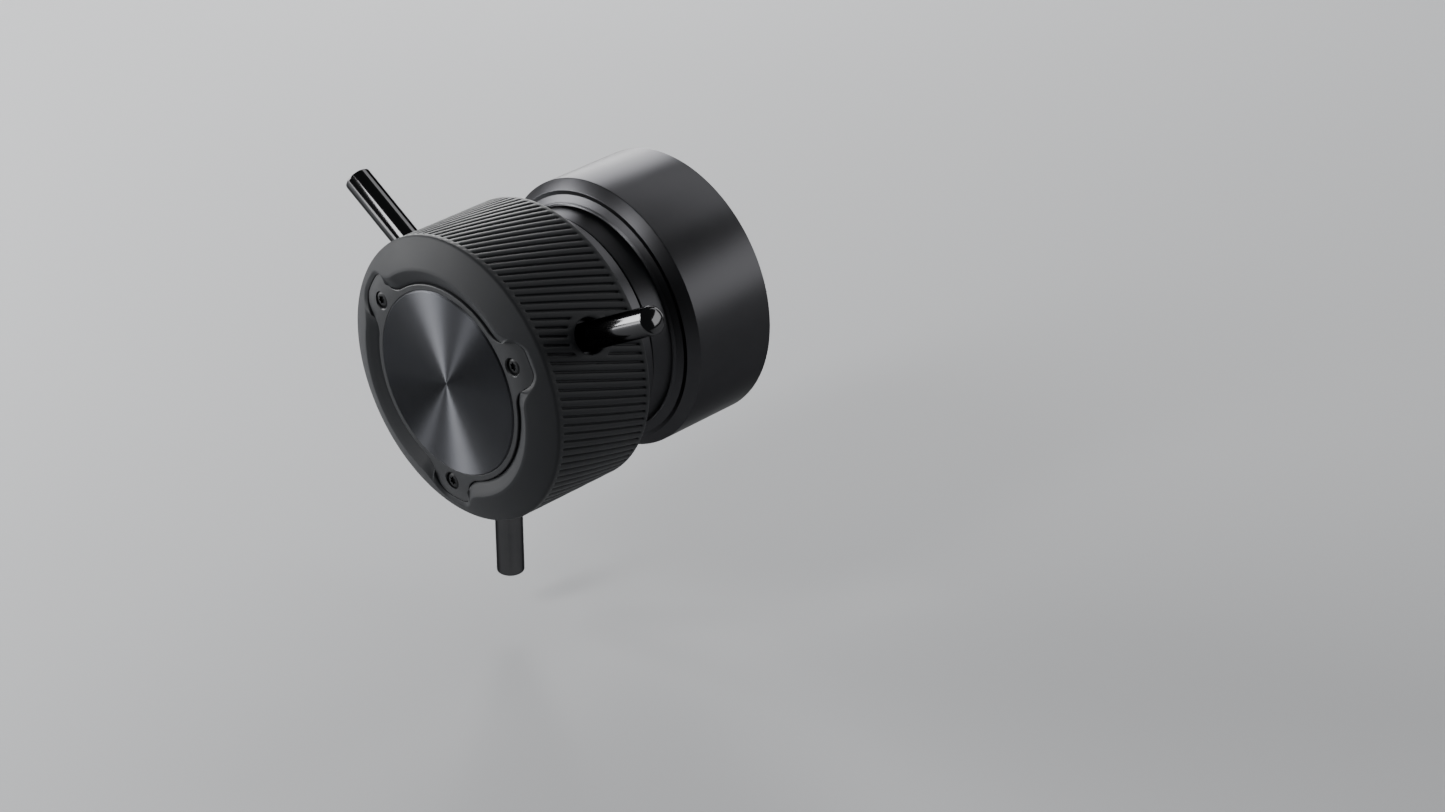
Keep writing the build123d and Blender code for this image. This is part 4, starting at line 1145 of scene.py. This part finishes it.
@dataclass
class BadgePlate:
    """The lobed plate with its screws, and the bare turned badge in it."""

    face: Face
    columns: int = 720
    screw_circle: float = 31.1
    counterbore: float = 2.55
    seat_y: float = 1.8
    head_radius: float = 2.2
    head_height: float = 0.9
    head_dome: float = 0.12
    socket_reach: float = 1.12
    socket_wave: float = 0.2
    screw_turns: tuple[float, ...] = (12, 40, 25)
    chamfer: float = 0.22
    seat_round: Point = (0.12, 0.04)
    seat_margin: float = 0.4
    edge_round: float = 0.3
    front_spans: int = 9
    badge_bevel: float = 0.35
    badge_rings: tuple[float, ...] = (0.0, 0.02, 0.06, 0.15, 0.3, 0.45, 0.6, 0.75, 0.9)

    def __post_init__(self) -> None:
        """Reads the badge's and the plate's places from the frame."""
        badge = Extent.of("badge_disc")
        self.seat_radius = badge.radius + self.face.gap
        self.badge_rear = badge.rear + FIT
        self.rear = Extent.of("badge_carrier").rear

    def build(self) -> None:
        """Makes the plate, the badge and the screws."""
        bm = spin_form(self.profile, self.columns, closed=False)
        bores = [moved(self.bore_cutter(), at(self.screw_circle, angle)) for angle in self.face.lobes]
        place_piece(carve(bm, bores), "lobed_plate", Body.KNOB, Slot.PLATE, "badge_carrier")
        screws = [moved(self.screw(), at(self.screw_circle, angle) @ Matrix.Rotation(math.radians(turn), 4, "Y"))
                  for angle, turn in zip(self.face.lobes, self.screw_turns)]
        place_piece(merged(screws), "plate_screws", Body.KNOB, Slot.BLACK_SCREWS, "carrier_screws")
        self.build_badge()

    def profile(self, angle: float) -> list[Point]:
        """Outline of the plate at an angle, from the badge's seat round to the middle of its back.

        Args:
            angle: degrees about the axis.

        Returns:
            Radius and y of each row.
        """
        face = self.face
        seat, front, rounding = self.seat_radius, face.plate_setback, self.edge_round
        edge = face.plate_outline.reach(angle, face.lobes)
        wide, tight = self.seat_round
        rows = [(0.0, self.badge_rear), (seat, self.badge_rear), (seat, front + wide),
                (seat + tight, front + tight), (seat + wide, front)]
        start, end = seat + self.seat_margin, edge - rounding
        for index in range(self.front_spans + 1):
            radius = start + (end - start) * index / self.front_spans
            rows.append((radius, face.plate_surface(radius)))
        for bend in (25, 50, 75, 90):
            turn = math.radians(bend)
            rows.append((edge - rounding * (1 - math.sin(turn)),
                         face.plate_surface(end) + rounding * (1 - math.cos(turn))))
        rows += [(edge, self.rear), (0.0, self.rear)]
        return rows

    def bore_cutter(self) -> BMesh:
        """Makes the cutter of a counterbore with a chamfered mouth.

        Returns:
            The cutter, about its own axis.
        """
        surface = self.face.plate_surface(self.screw_circle)
        r, c, beyond = self.counterbore, self.chamfer, 3
        return lathe([
            (0, surface - beyond, 0), (r + c + beyond, surface - beyond, 0), (r, surface + c, 0.06),
            (r, self.seat_y, 0.1), (0, self.seat_y, 0),
        ], 64)

    def screw(self) -> BMesh:
        """Makes a pan head with a six-lobed socket.

        Returns:
            The head, about its own axis.
        """
        r, seat, top = self.head_radius, self.seat_y, self.seat_y - self.head_height
        head = lathe([
            (0, top - self.head_dome, 0), (0.75 * r, top, 0.5), (r, top + 0.25, 0.2), (r, seat, 0), (0, seat, 0),
        ], 64)
        socket = prism(60, lambda turn: self.socket_reach + self.socket_wave * math.cos(6 * turn),
                       top - 1, seat - 0.2)
        return carve(head, [socket])

    def build_badge(self) -> None:
        """Makes the disc, with a UV map that holds the radius and the turn about the axis."""
        box = Extent.of("badge_disc")
        radius, bevel = box.radius, self.badge_bevel
        corners = [(radius * share, 0.0, 0.0) for share in self.badge_rings]
        corners += [(radius - bevel, 0.0, 0.06), (radius, bevel, 0.06), (radius, box.rear, 0.0), (0.0, box.rear, 0.0)]
        bm = lathe(corners, 256)
        uv = bm.loops.layers.uv.new(RADIUS_TURN)
        for face in bm.faces:
            middle = face.calc_center_median()
            centre = math.atan2(middle.z, middle.x)
            for loop in face.loops:
                reach = math.hypot(loop.vert.co.x, loop.vert.co.z)
                turn = math.atan2(loop.vert.co.z, loop.vert.co.x) if reach > WELD else centre
                turn = centre + (turn - centre + math.pi) % math.tau - math.pi
                loop[uv].uv = (reach, turn * radius)
        place_piece(bm, "turned_badge", Body.KNOB, Slot.BADGE, "badge_disc")


@dataclass
class Pegs:
    """The three polished pegs, each with a domed end and its foot in the hub."""

    face: Face
    edge_radius: float = 0.6
    dome_height: float = 0.8
    dome_spans: int = 10
    edge_spans: int = 5
    foot_depth: float = 1.5

    def build(self) -> None:
        """Makes each peg in its own place."""
        box = Extent.of("grip_peg_lower")
        radius = (box.high.x - box.low.x) / 2
        tip = -box.low.z
        base = Extent.of("knob_hub").radius - self.foot_depth
        y = (box.low.y + box.high.y) / 2
        edge, shoulder = self.edge_radius, tip - self.dome_height
        flat = radius - edge
        dome = (flat ** 2 + self.dome_height ** 2) / (2 * self.dome_height)
        outline = []
        for step in range(self.dome_spans + 1):
            turn = math.asin(flat / dome) * step / self.dome_spans
            outline.append((dome * math.sin(turn), tip - dome * (1 - math.cos(turn)), 0.0))
        for step in range(1, self.edge_spans + 1):
            turn = math.radians(90 * step / self.edge_spans)
            outline.append((flat + edge * math.sin(turn), shoulder - edge * (1 - math.cos(turn)), 0.0))
        outline += [(radius, base, 0.0), (0.0, base, 0.0)]
        for name, angle in zip(("right", "left", "lower"), self.face.lobes):
            bm = moved(lathe(outline, 96), along_radius(angle, y))
            bmesh.ops.recalc_face_normals(bm, faces=bm.faces)
            place_piece(bm, f"peg_{name}", Body.KNOB, Slot.PEG, f"grip_peg_{name}")


@dataclass
class FixedDrum:
    """What stands still behind the knob: the collar and the drum, and the hub's skirt in front of them."""

    hub_wall: float = 2.5
    tube_bore: float = 13.0
    tube_radius: float = 16.5
    web_rear: float = 51.5
    labyrinth: Point = (28.2, 31.2)
    labyrinth_front: float = 43.3
    collar_radius: float = 33.0
    collar_front: float = 46.7
    brim_width: float = 0.6
    flange: Point = (29.0, 36.4)
    flange_front: float = 58.2
    flange_rear: float = 61.2
    rim_y: float = 54.37
    mouth_chamfer: float = 0.5
    dish_edge: float = 37.18
    dish_land: float = 1.2
    dish_y: float = 55.58
    chamfer_y: float = 58.19
    rear_chamfer: float = 0.4
    wall: float = 2.2

    def build(self) -> None:
        """Makes the hub, the collar and the drum."""
        self.build_hub()
        self.build_collar()
        self.build_drum()

    def build_hub(self) -> None:
        """Turns the hub's barrel, of which the skirt shows."""
        box = Extent.of("knob_hub")
        hook = Extent.of("grip_sleeve").rear - HOOK_DEPTH - FIT
        skirt, bore = SKIRT_RADIUS, SKIRT_RADIUS - self.hub_wall
        bm = lathe([
            (bore, box.front, 0.2), (box.radius, box.front, 0.2), (box.radius, hook, 0.2),
            (skirt, hook, 0.1), (skirt, box.rear, 0.35), (bore, box.rear, 0.25),
        ], 256, closed=True)
        place_piece(bm, "hub_turning", Body.KNOB, Slot.DRUM, "knob_hub")

    def build_collar(self) -> None:
        """Turns the collar and the bearing tube."""
        box = Extent.of("bearing_housing")
        r, front, rim = self.collar_radius, self.collar_front, self.rim_y
        tube, bore, brim = self.tube_radius, self.tube_bore + FIT, r + self.brim_width
        (inner, outer), (hollow, flange) = self.labyrinth, self.flange
        before, behind = self.flange_front, self.flange_rear
        bm = lathe([
            (bore, box.front, 0.2), (tube, box.front, 0.2), (tube, front, 0.5), (inner, front, 0.3),
            (inner, self.labyrinth_front, 0.2), (outer, self.labyrinth_front, 0.2), (outer, front, 0.3),
            (r, front, 0.4), (r, rim, 0.6), (brim, rim, 0), (brim, rim + FIT, 0), (r, rim + FIT, 0),
            (r, before, 0), (flange, before, 0), (flange, behind, 0), (hollow, behind, 0),
            (hollow, self.web_rear, 0), (bore, self.web_rear, 0),
        ], 256, closed=True)
        place_piece(bm, "collar_turning", Body.HOUSING, Slot.DRUM, "bearing_housing")

    def build_drum(self) -> None:
        """Turns the drum, with its dished front and chamfer."""
        box = Extent.of("housing_drum")
        r, rear, bore = box.radius, box.rear, self.collar_radius + self.brim_width + FIT
        mouth, chamfer, inside = self.mouth_chamfer, self.rear_chamfer, r - self.wall
        bm = lathe([
            (bore, self.rim_y - mouth, 0.05), (bore + mouth, self.rim_y, 0.15),
            (self.dish_edge - self.dish_land, self.dish_y, 0.5), (self.dish_edge, self.dish_y, 0.25),
            (r, self.chamfer_y, 0.35), (r, rear - chamfer, 0.3), (r - chamfer, rear, 0.3), (inside, rear, 0.15),
            (inside, self.flange_front, 0), (bore, self.flange_front, 0),
        ], 384, closed=True, arc=5)
        place_piece(bm, "drum_shell", Body.HOUSING, Slot.DRUM, "housing_drum")


@dataclass
class RearSide:
    """The rear cover with its sockets, button and screws, and the toothed rosette."""

    cover_thickness: float = 5.0
    hole_gap: float = 0.1
    screw_circle: float = 34.8
    screw_angles: tuple[float, ...] = (45.0, 135.0, 225.0, 315.0)
    screw_turn: float = 17.0
    head_radius: float = 2.2
    head_height: float = 1.8
    shank_radius: float = 1.23
    shank_length: float = 10.0
    key_half_width: float = 0.95
    key_rise: float = 0.7
    button_radius: float = 3.0
    button_gap: float = 0.05
    button_flange: Point = (4.2, 1.0)
    button_stem: float = 1.6
    socket_half_width: float = 1.6
    socket_half_height: float = 4.45
    shell_wall: float = 0.35
    mouth_chamfer: float = 0.25
    rolled_edge: float = 0.12
    tongue_gap: float = 0.9
    contacts: int = 6
    contact_pitch: float = 0.75
    contact_half_width: float = 0.12
    pillar_circle: float = 26.0
    pillar_angles: tuple[float, ...] = (0, 120, 240)
    pillar: Point = (1.0, 3.0)
    tooth_count: int = 60
    columns_per_tooth: int = 8
    tooth_depth: float = 1.0
    tooth_land: float = 0.1
    tooth_inner: float = 9.5
    recess: float = 1.4
    tooth_edge: float = 0.12
    bush_radius: float = 5.0
    bush_flange: float = 2.0
    bush_mouth: float = 0.6
    thread_core: float = 2.5
    thread_pitch: float = 1.0
    thread_depth: float = 0.55

    def __post_init__(self) -> None:
        """Reads the pieces' places from the frame."""
        self.cover = Extent.of("rear_cover")
        self.front = self.cover.rear - self.cover_thickness
        sockets = Extent.of("usb_sockets")
        self.socket_x = (sockets.low.x + sockets.high.x) / 2
        self.socket_z = sockets.high.z - self.socket_half_height
        self.socket_front, self.mouth = sockets.front, sockets.rear
        self.button = Extent.of("direction_button")
        self.button_z = (self.button.low.z + self.button.high.z) / 2
        self.rosette = Extent.of("rosette_mount")
        self.rosette_x = (self.rosette.low.x + self.rosette.high.x) / 2
        self.bush = Extent.of("thread_bush")

    def build(self) -> None:
        """Makes the pieces from the cover outwards."""
        self.build_cover()
        self.build_screws()
        self.build_sockets()
        self.build_button()
        self.build_rosette()
        self.build_bush()

    def bore(self, radius: float, floor: float, chamfer: float = 0.2) -> BMesh:
        """Makes a cutter for a hole in the cover's rear, with a chamfered mouth.

        Args:
            radius: the hole's radius.
            floor: how far forward it goes.
            chamfer: size of the chamfer.

        Returns:
            The cutter, about its own axis.
        """
        rear = self.cover.rear
        return lathe([
            (0, floor, 0), (radius, floor, 0), (radius, rear - chamfer, 0), (radius + chamfer + 1, rear + 1, 0),
            (0, rear + 1, 0),
        ], 48)

    def build_cover(self) -> None:
        """Turns the cover and opens its holes."""
        front, rear, through = self.front, self.cover.rear, self.front - 1
        r, gap, mouth = self.cover.radius, self.hole_gap, self.mouth_chamfer
        plate = lathe([(0, front, 0), (r, front, 0.2), (r, rear, 0.4), (0, rear, 0)], 256)
        seat = rear - self.head_height - gap
        cutters = [moved(self.bore(self.head_radius + gap, seat), at(self.screw_circle, angle))
                   for angle in self.screw_angles]
        cutters.append(moved(self.bore(self.button_radius + self.button_gap, through), at(self.button_z, 90)))
        outline = stadium_reach(self.socket_half_width + gap, self.socket_half_height + gap)
        for z in (self.socket_z, -self.socket_z):
            place = Matrix.Translation((self.socket_x, 0, z))
            cutters.append(moved(prism(64, outline, through, rear + 1), place))
            cutters.append(moved(prism(64, outline, rear - mouth, rear + mouth, 2 * mouth), place))
        for cutter in cutters:
            plate = carve(plate, [cutter])
        (hole, outer), end = self.pillar, self.cover.front
        pillars = [
            moved(lathe([(hole, end, 0), (outer, end, 0.2), (outer, front + 0.5, 0), (hole, front + 0.5, 0)], 48,
                        closed=True), at(self.pillar_circle, angle))
            for angle in self.pillar_angles
        ]
        place_piece(merged([plate, *pillars]), "cover_plate", Body.HOUSING, Slot.DRUM, "rear_cover")

    def build_screws(self) -> None:
        """Makes the four cap screws, sunk in the cover."""
        seat = self.cover.rear - self.head_height - self.hole_gap
        top, tip = seat + self.head_height, seat - self.shank_length
        shank, r = self.shank_radius, self.head_radius
        screws = []
        for index, angle in enumerate(self.screw_angles):
            screw = lathe([
                (0, tip, 0), (shank, tip, 0.3), (shank, seat, 0.1), (r, seat, 0.1), (r, top, 0.25), (0, top, 0),
            ], 64)
            key = prism(48, polygon_reach(6, self.key_half_width), seat + self.key_rise, top + 0.5)
            turned = Matrix.Rotation(math.radians(self.screw_turn * index), 4, "Y")
            screws.append(moved(carve(screw, [key]), at(self.screw_circle, angle) @ turned))
        place_piece(merged(screws), "cover_cap_screws", Body.HOUSING, Slot.BLACK_SCREWS, "cover_screws")

    def build_sockets(self) -> None:
        """Makes the two data sockets: a rolled shell, a tongue and its contacts."""
        wall, mouth, edge = self.shell_wall, self.mouth, self.rolled_edge
        outer = stadium_reach(self.socket_half_width, self.socket_half_height)
        inner = stadium_reach(self.socket_half_width - wall, self.socket_half_height - wall)
        tongue = stadium_reach(wall, self.socket_half_height - 2 * wall - self.tongue_gap)
        floor = mouth - self.cover_thickness
        parts = []
        for z in (self.socket_z, -self.socket_z):
            place = Matrix.Translation((self.socket_x, 0, z))
            shell = carve(prism(96, outer, self.socket_front, mouth), [prism(96, inner, floor, mouth + 1)])
            flare = prism(96, inner, mouth - edge, mouth + edge, 0.2)
            parts.append(moved(carve(shell, [flare]), place))
            parts.append(moved(prism(48, tongue, floor - 0.3, mouth - 0.5), place))
            parts += [moved(self.contact(side, row, floor), place)
                      for side in (-1, 1) for row in range(self.contacts)]
        place_piece(merged(parts), "data_sockets", Body.HOUSING, Slot.SOCKET, "usb_sockets")

    def contact(self, side: int, row: int, floor: float) -> BMesh:
        """Makes one raised contact of a socket's tongue.

        Args:
            side: -1 or 1, the tongue's left or right face.
            row: which contact, from the lowest.
            floor: place of the socket's floor.

        Returns:
            The closed mesh.
        """
        z = (row - (self.contacts - 1) / 2) * self.contact_pitch
        half = self.contact_half_width
        strip = prism(8, polygon_reach(4, half), floor, self.mouth - self.tongue_gap)
        return moved(strip, Matrix.Translation((side * (self.shell_wall - half / 2), 0, z)))

    def build_button(self) -> None:
        """Turns the button: a domed cap with a finger dish, the flange behind it and the stem."""
        box = self.button
        cap, tip, r, stem = box.rear, box.front, self.button_radius, self.button_stem
        flange, thickness = self.button_flange
        behind = self.front - FIT
        before = behind - thickness
        bm = lathe([
            (0, cap - 0.18, 0), (1.2, cap - 0.14, 0.6), (2.0, cap, 0.5), (r, cap - 0.35, 0.35), (r, behind, 0),
            (flange, behind, 0.1), (flange, before, 0.1), (stem, before, 0.1), (stem, tip, 0.2), (0, tip, 0),
        ], 96)
        place_piece(moved(bm, at(self.button_z, 90)), "reversing_button", Body.BUTTON, Slot.BUTTON, "direction_button")

    def build_rosette(self) -> None:
        """Makes the rosette with its radial teeth."""
        bm = spin_form(self.rosette_profile, self.tooth_count * self.columns_per_tooth, closed=True)
        place = Matrix.Translation((self.rosette_x, 0, 0))
        place_piece(moved(bm, place), "toothed_rosette", Body.HOUSING, Slot.ROSETTE, "rosette_mount")

    def rosette_profile(self, angle: float) -> list[Row]:
        """Outline of the rosette at an angle.

        Args:
            angle: degrees about the rosette's own axis.

        Returns:
            Radius, y and the column's shift in degrees at each row.
        """
        box = self.rosette
        pitch = 360 / self.tooth_count
        share = (angle / pitch + 0.5) % 1 - 0.5
        flank = 0.5 * (1 - self.tooth_land)
        stops = ((0.0, 0.0), (0.125, 0.04), (0.25, flank / 2), (0.375, flank), (0.5, 0.5))
        size = along_stops(stops, abs(share))
        shift = (math.copysign(size, share) - share) * pitch
        depth = self.tooth_depth * max(1 - size / flank, 0.0)
        front, tip, outer, bore = box.front, box.rear, box.radius, self.bush_radius + FIT
        base, inner, edge = tip - self.recess, self.tooth_inner, self.tooth_edge
        step, bush_flange = self.bush_step(), self.bush.radius + FIT
        rows = [(bore, base + 0.1, 0.0), (bore + 0.1, base, 0.0), (inner - 0.15, base, 0.0), (inner, base + 0.15, 0.0)]
        for index in range(6):
            radius = inner + 0.02 + (outer - edge - inner) * index / 5
            rows.append((radius, tip - depth * radius / outer, shift))
        rows += [(outer, tip - depth - edge, shift), (outer, tip - self.tooth_depth - 0.5, 0.0)]
        rows += [(outer, front + 0.25, 0.0), (outer - 0.25, front, 0.0), (bush_flange, front, 0.0),
                 (bush_flange, step, 0.0), (bore, step, 0.0)]
        return rows

    def bush_step(self) -> float:
        """Place of the step that the bush's flange pulls against."""
        return self.bush.front + self.bush_flange

    def build_bush(self) -> None:
        """Makes the threaded bush, with a true helix in its bore."""
        bm = spin_form(self.bush_profile, 64, closed=True)
        place = Matrix.Translation((self.rosette_x, 0, 0))
        place_piece(moved(bm, place), "threaded_bush", Body.HOUSING, Slot.STEEL, "thread_bush")

    def bush_profile(self, angle: float) -> list[Point]:
        """Outline of the bush at an angle: the flange, the barrel and the thread's flanks.

        Args:
            angle: degrees about the bush's axis.

        Returns:
            Radius and y of each row.
        """
        front, rear, flange, barrel = self.bush.front, self.bush.rear, self.bush.radius, self.bush_radius
        step = self.bush_step() - FIT
        mouth = self.thread_core + self.bush_mouth
        rows = [(mouth, front), (flange - 0.2, front), (flange, front + 0.2), (flange, step), (barrel, step),
                (barrel, rear - 0.15), (barrel - 0.15, rear), (mouth, rear)]
        length = rear - front - 2 * self.bush_mouth
        count = round(length / self.thread_pitch * 8)
        for index in range(count + 1):
            y = rear - self.bush_mouth - length * index / count
            turn = (y / self.thread_pitch - angle / 360) % 1
            rows.append((self.thread_core + self.thread_depth * abs(2 * turn - 1), y))
        return rows


@dataclass
class Studio:
    """The photograph's camera, a pale floor and soft light.

    The camera was solved from the knob's and drum's circles: its turn and height above the knob's axis,
    and where the badge's centre lies in its view, in millimetres across, up and away.
    """

    azimuth: float = 44.86
    elevation: float = 29.76
    across: float = -75.29
    up: float = 6.02
    distance: float = 954.24
    focal_pixels: float = 3500.0
    sensor: float = 36.0
    floor_drop: float = 12.0
    floor_half_width: float = 6.0
    aim_depth: float = 30.0
    world_strength: float = 0.12

    def axes(self) -> tuple[Vector, Vector, Vector]:
        """Works out which way the camera looks.

        Returns:
            Its right, up and back.
        """
        turn, rise = math.radians(self.azimuth), math.radians(self.elevation)
        right = Vector((math.cos(turn), math.sin(turn), 0))
        back = Vector((math.sin(turn) * math.cos(rise), -math.cos(turn) * math.cos(rise), math.sin(rise)))
        return right, back.cross(right), back

    def build(self) -> None:
        """Makes the camera, the floor, the world and the lights."""
        self.build_camera()
        self.build_floor()
        self.build_lights()

    def build_camera(self) -> None:
        """Makes the camera."""
        right, up, back = self.axes()
        data = bpy.data.cameras.new("camera")
        data.sensor_width = self.sensor
        data.lens = self.focal_pixels / IMAGE_WIDTH * self.sensor
        data.clip_start = 0.01
        data.clip_end = 50
        camera = bpy.data.objects.new("camera", data)
        camera.location = ORIGIN + (back * self.distance - right * self.across - up * self.up) * MM
        camera.rotation_euler = (math.radians(90 - self.elevation), 0, math.radians(self.azimuth))
        bpy.context.scene.collection.objects.link(camera)
        bpy.context.scene.camera = camera

    def build_floor(self) -> None:
        """Makes the plain floor, a little below the lowest peg."""
        bm = bmesh.new()
        bmesh.ops.create_grid(bm, x_segments=1, y_segments=1, size=self.floor_half_width)
        bmesh.ops.translate(bm, verts=bm.verts, vec=(0, 0, CAD_BOX[0].z - self.floor_drop * MM))
        mesh = bpy.data.meshes.new("floor")
        bm.to_mesh(mesh)
        bm.free()
        floor = bpy.data.objects.new("floor", mesh)
        bpy.context.scene.collection.objects.link(floor)
        material = bpy.data.materials.new("pale_floor")
        material.use_nodes = True
        shader = material.node_tree.nodes["Principled BSDF"]
        shader.inputs["Base Color"].default_value = linear("b6b7b9")
        shader.inputs["Roughness"].default_value = 0.9
        mesh.materials.append(material)

    def build_lights(self) -> None:
        """Makes the world and the soft boxes."""
        world = bpy.data.worlds.new("studio")
        world.use_nodes = True
        background = world.node_tree.nodes["Background"]
        background.inputs["Color"].default_value = linear("c9ccd0")
        background.inputs["Strength"].default_value = self.world_strength
        bpy.context.scene.world = world
        self.soft_box("key_light", Vector((-0.85, -0.46, 0.22)), 0.75, (0.42, 0.32), 8)
        self.soft_box("rim_light", Vector((-0.74, 0.62, 0.2)), 1.1, (0.4, 0.7), 16)
        self.soft_box("top_strip", Vector((-0.15, -0.79, 0.61)), 0.9, (0.17, 0.42), 3.2)
        self.soft_box("low_strip", Vector((-0.6, -0.79, -0.05)), 0.42, (0.12, 0.1), 0.2)
        self.soft_box("rear_light", Vector((-0.12, 0.76, 0.65)), 1.3, (1.0, 0.6), 5)
        self.soft_box("side_light", Vector((0.62, 0.74, 0.28)), 1.2, (1.1, 0.55), 6)

    def soft_box(self, name: str, direction: Vector, distance: float, size: Point, watts: float) -> None:
        """Makes a rectangular light that faces the knob.

        Args:
            name: its name.
            direction: where it stands, as seen from the knob.
            distance: how far away, in metres.
            size: its width and height in metres.
            watts: its power.
        """
        data = bpy.data.lights.new(name, "AREA")
        data.shape = "RECTANGLE"
        data.size, data.size_y = size
        data.energy = watts
        light = bpy.data.objects.new(name, data)
        aim = ORIGIN + Vector((0, self.aim_depth * MM, 0))
        light.location = aim + direction.normalized() * distance
        light.rotation_euler = direction.to_track_quat("Z", "Y").to_euler()
        bpy.context.scene.collection.objects.link(light)


def main() -> None:
    """Builds the sub-assemblies in order."""
    logging.basicConfig(level=logging.INFO, format="%(message)s")
    Studio().build()
    face = Face()
    GripSleeve(face).build()
    BadgePlate(face).build()
    Pegs(face).build()
    FixedDrum().build()
    RearSide().build()
    dress_cad_nodes()


if __name__ == "__main__":
    main()
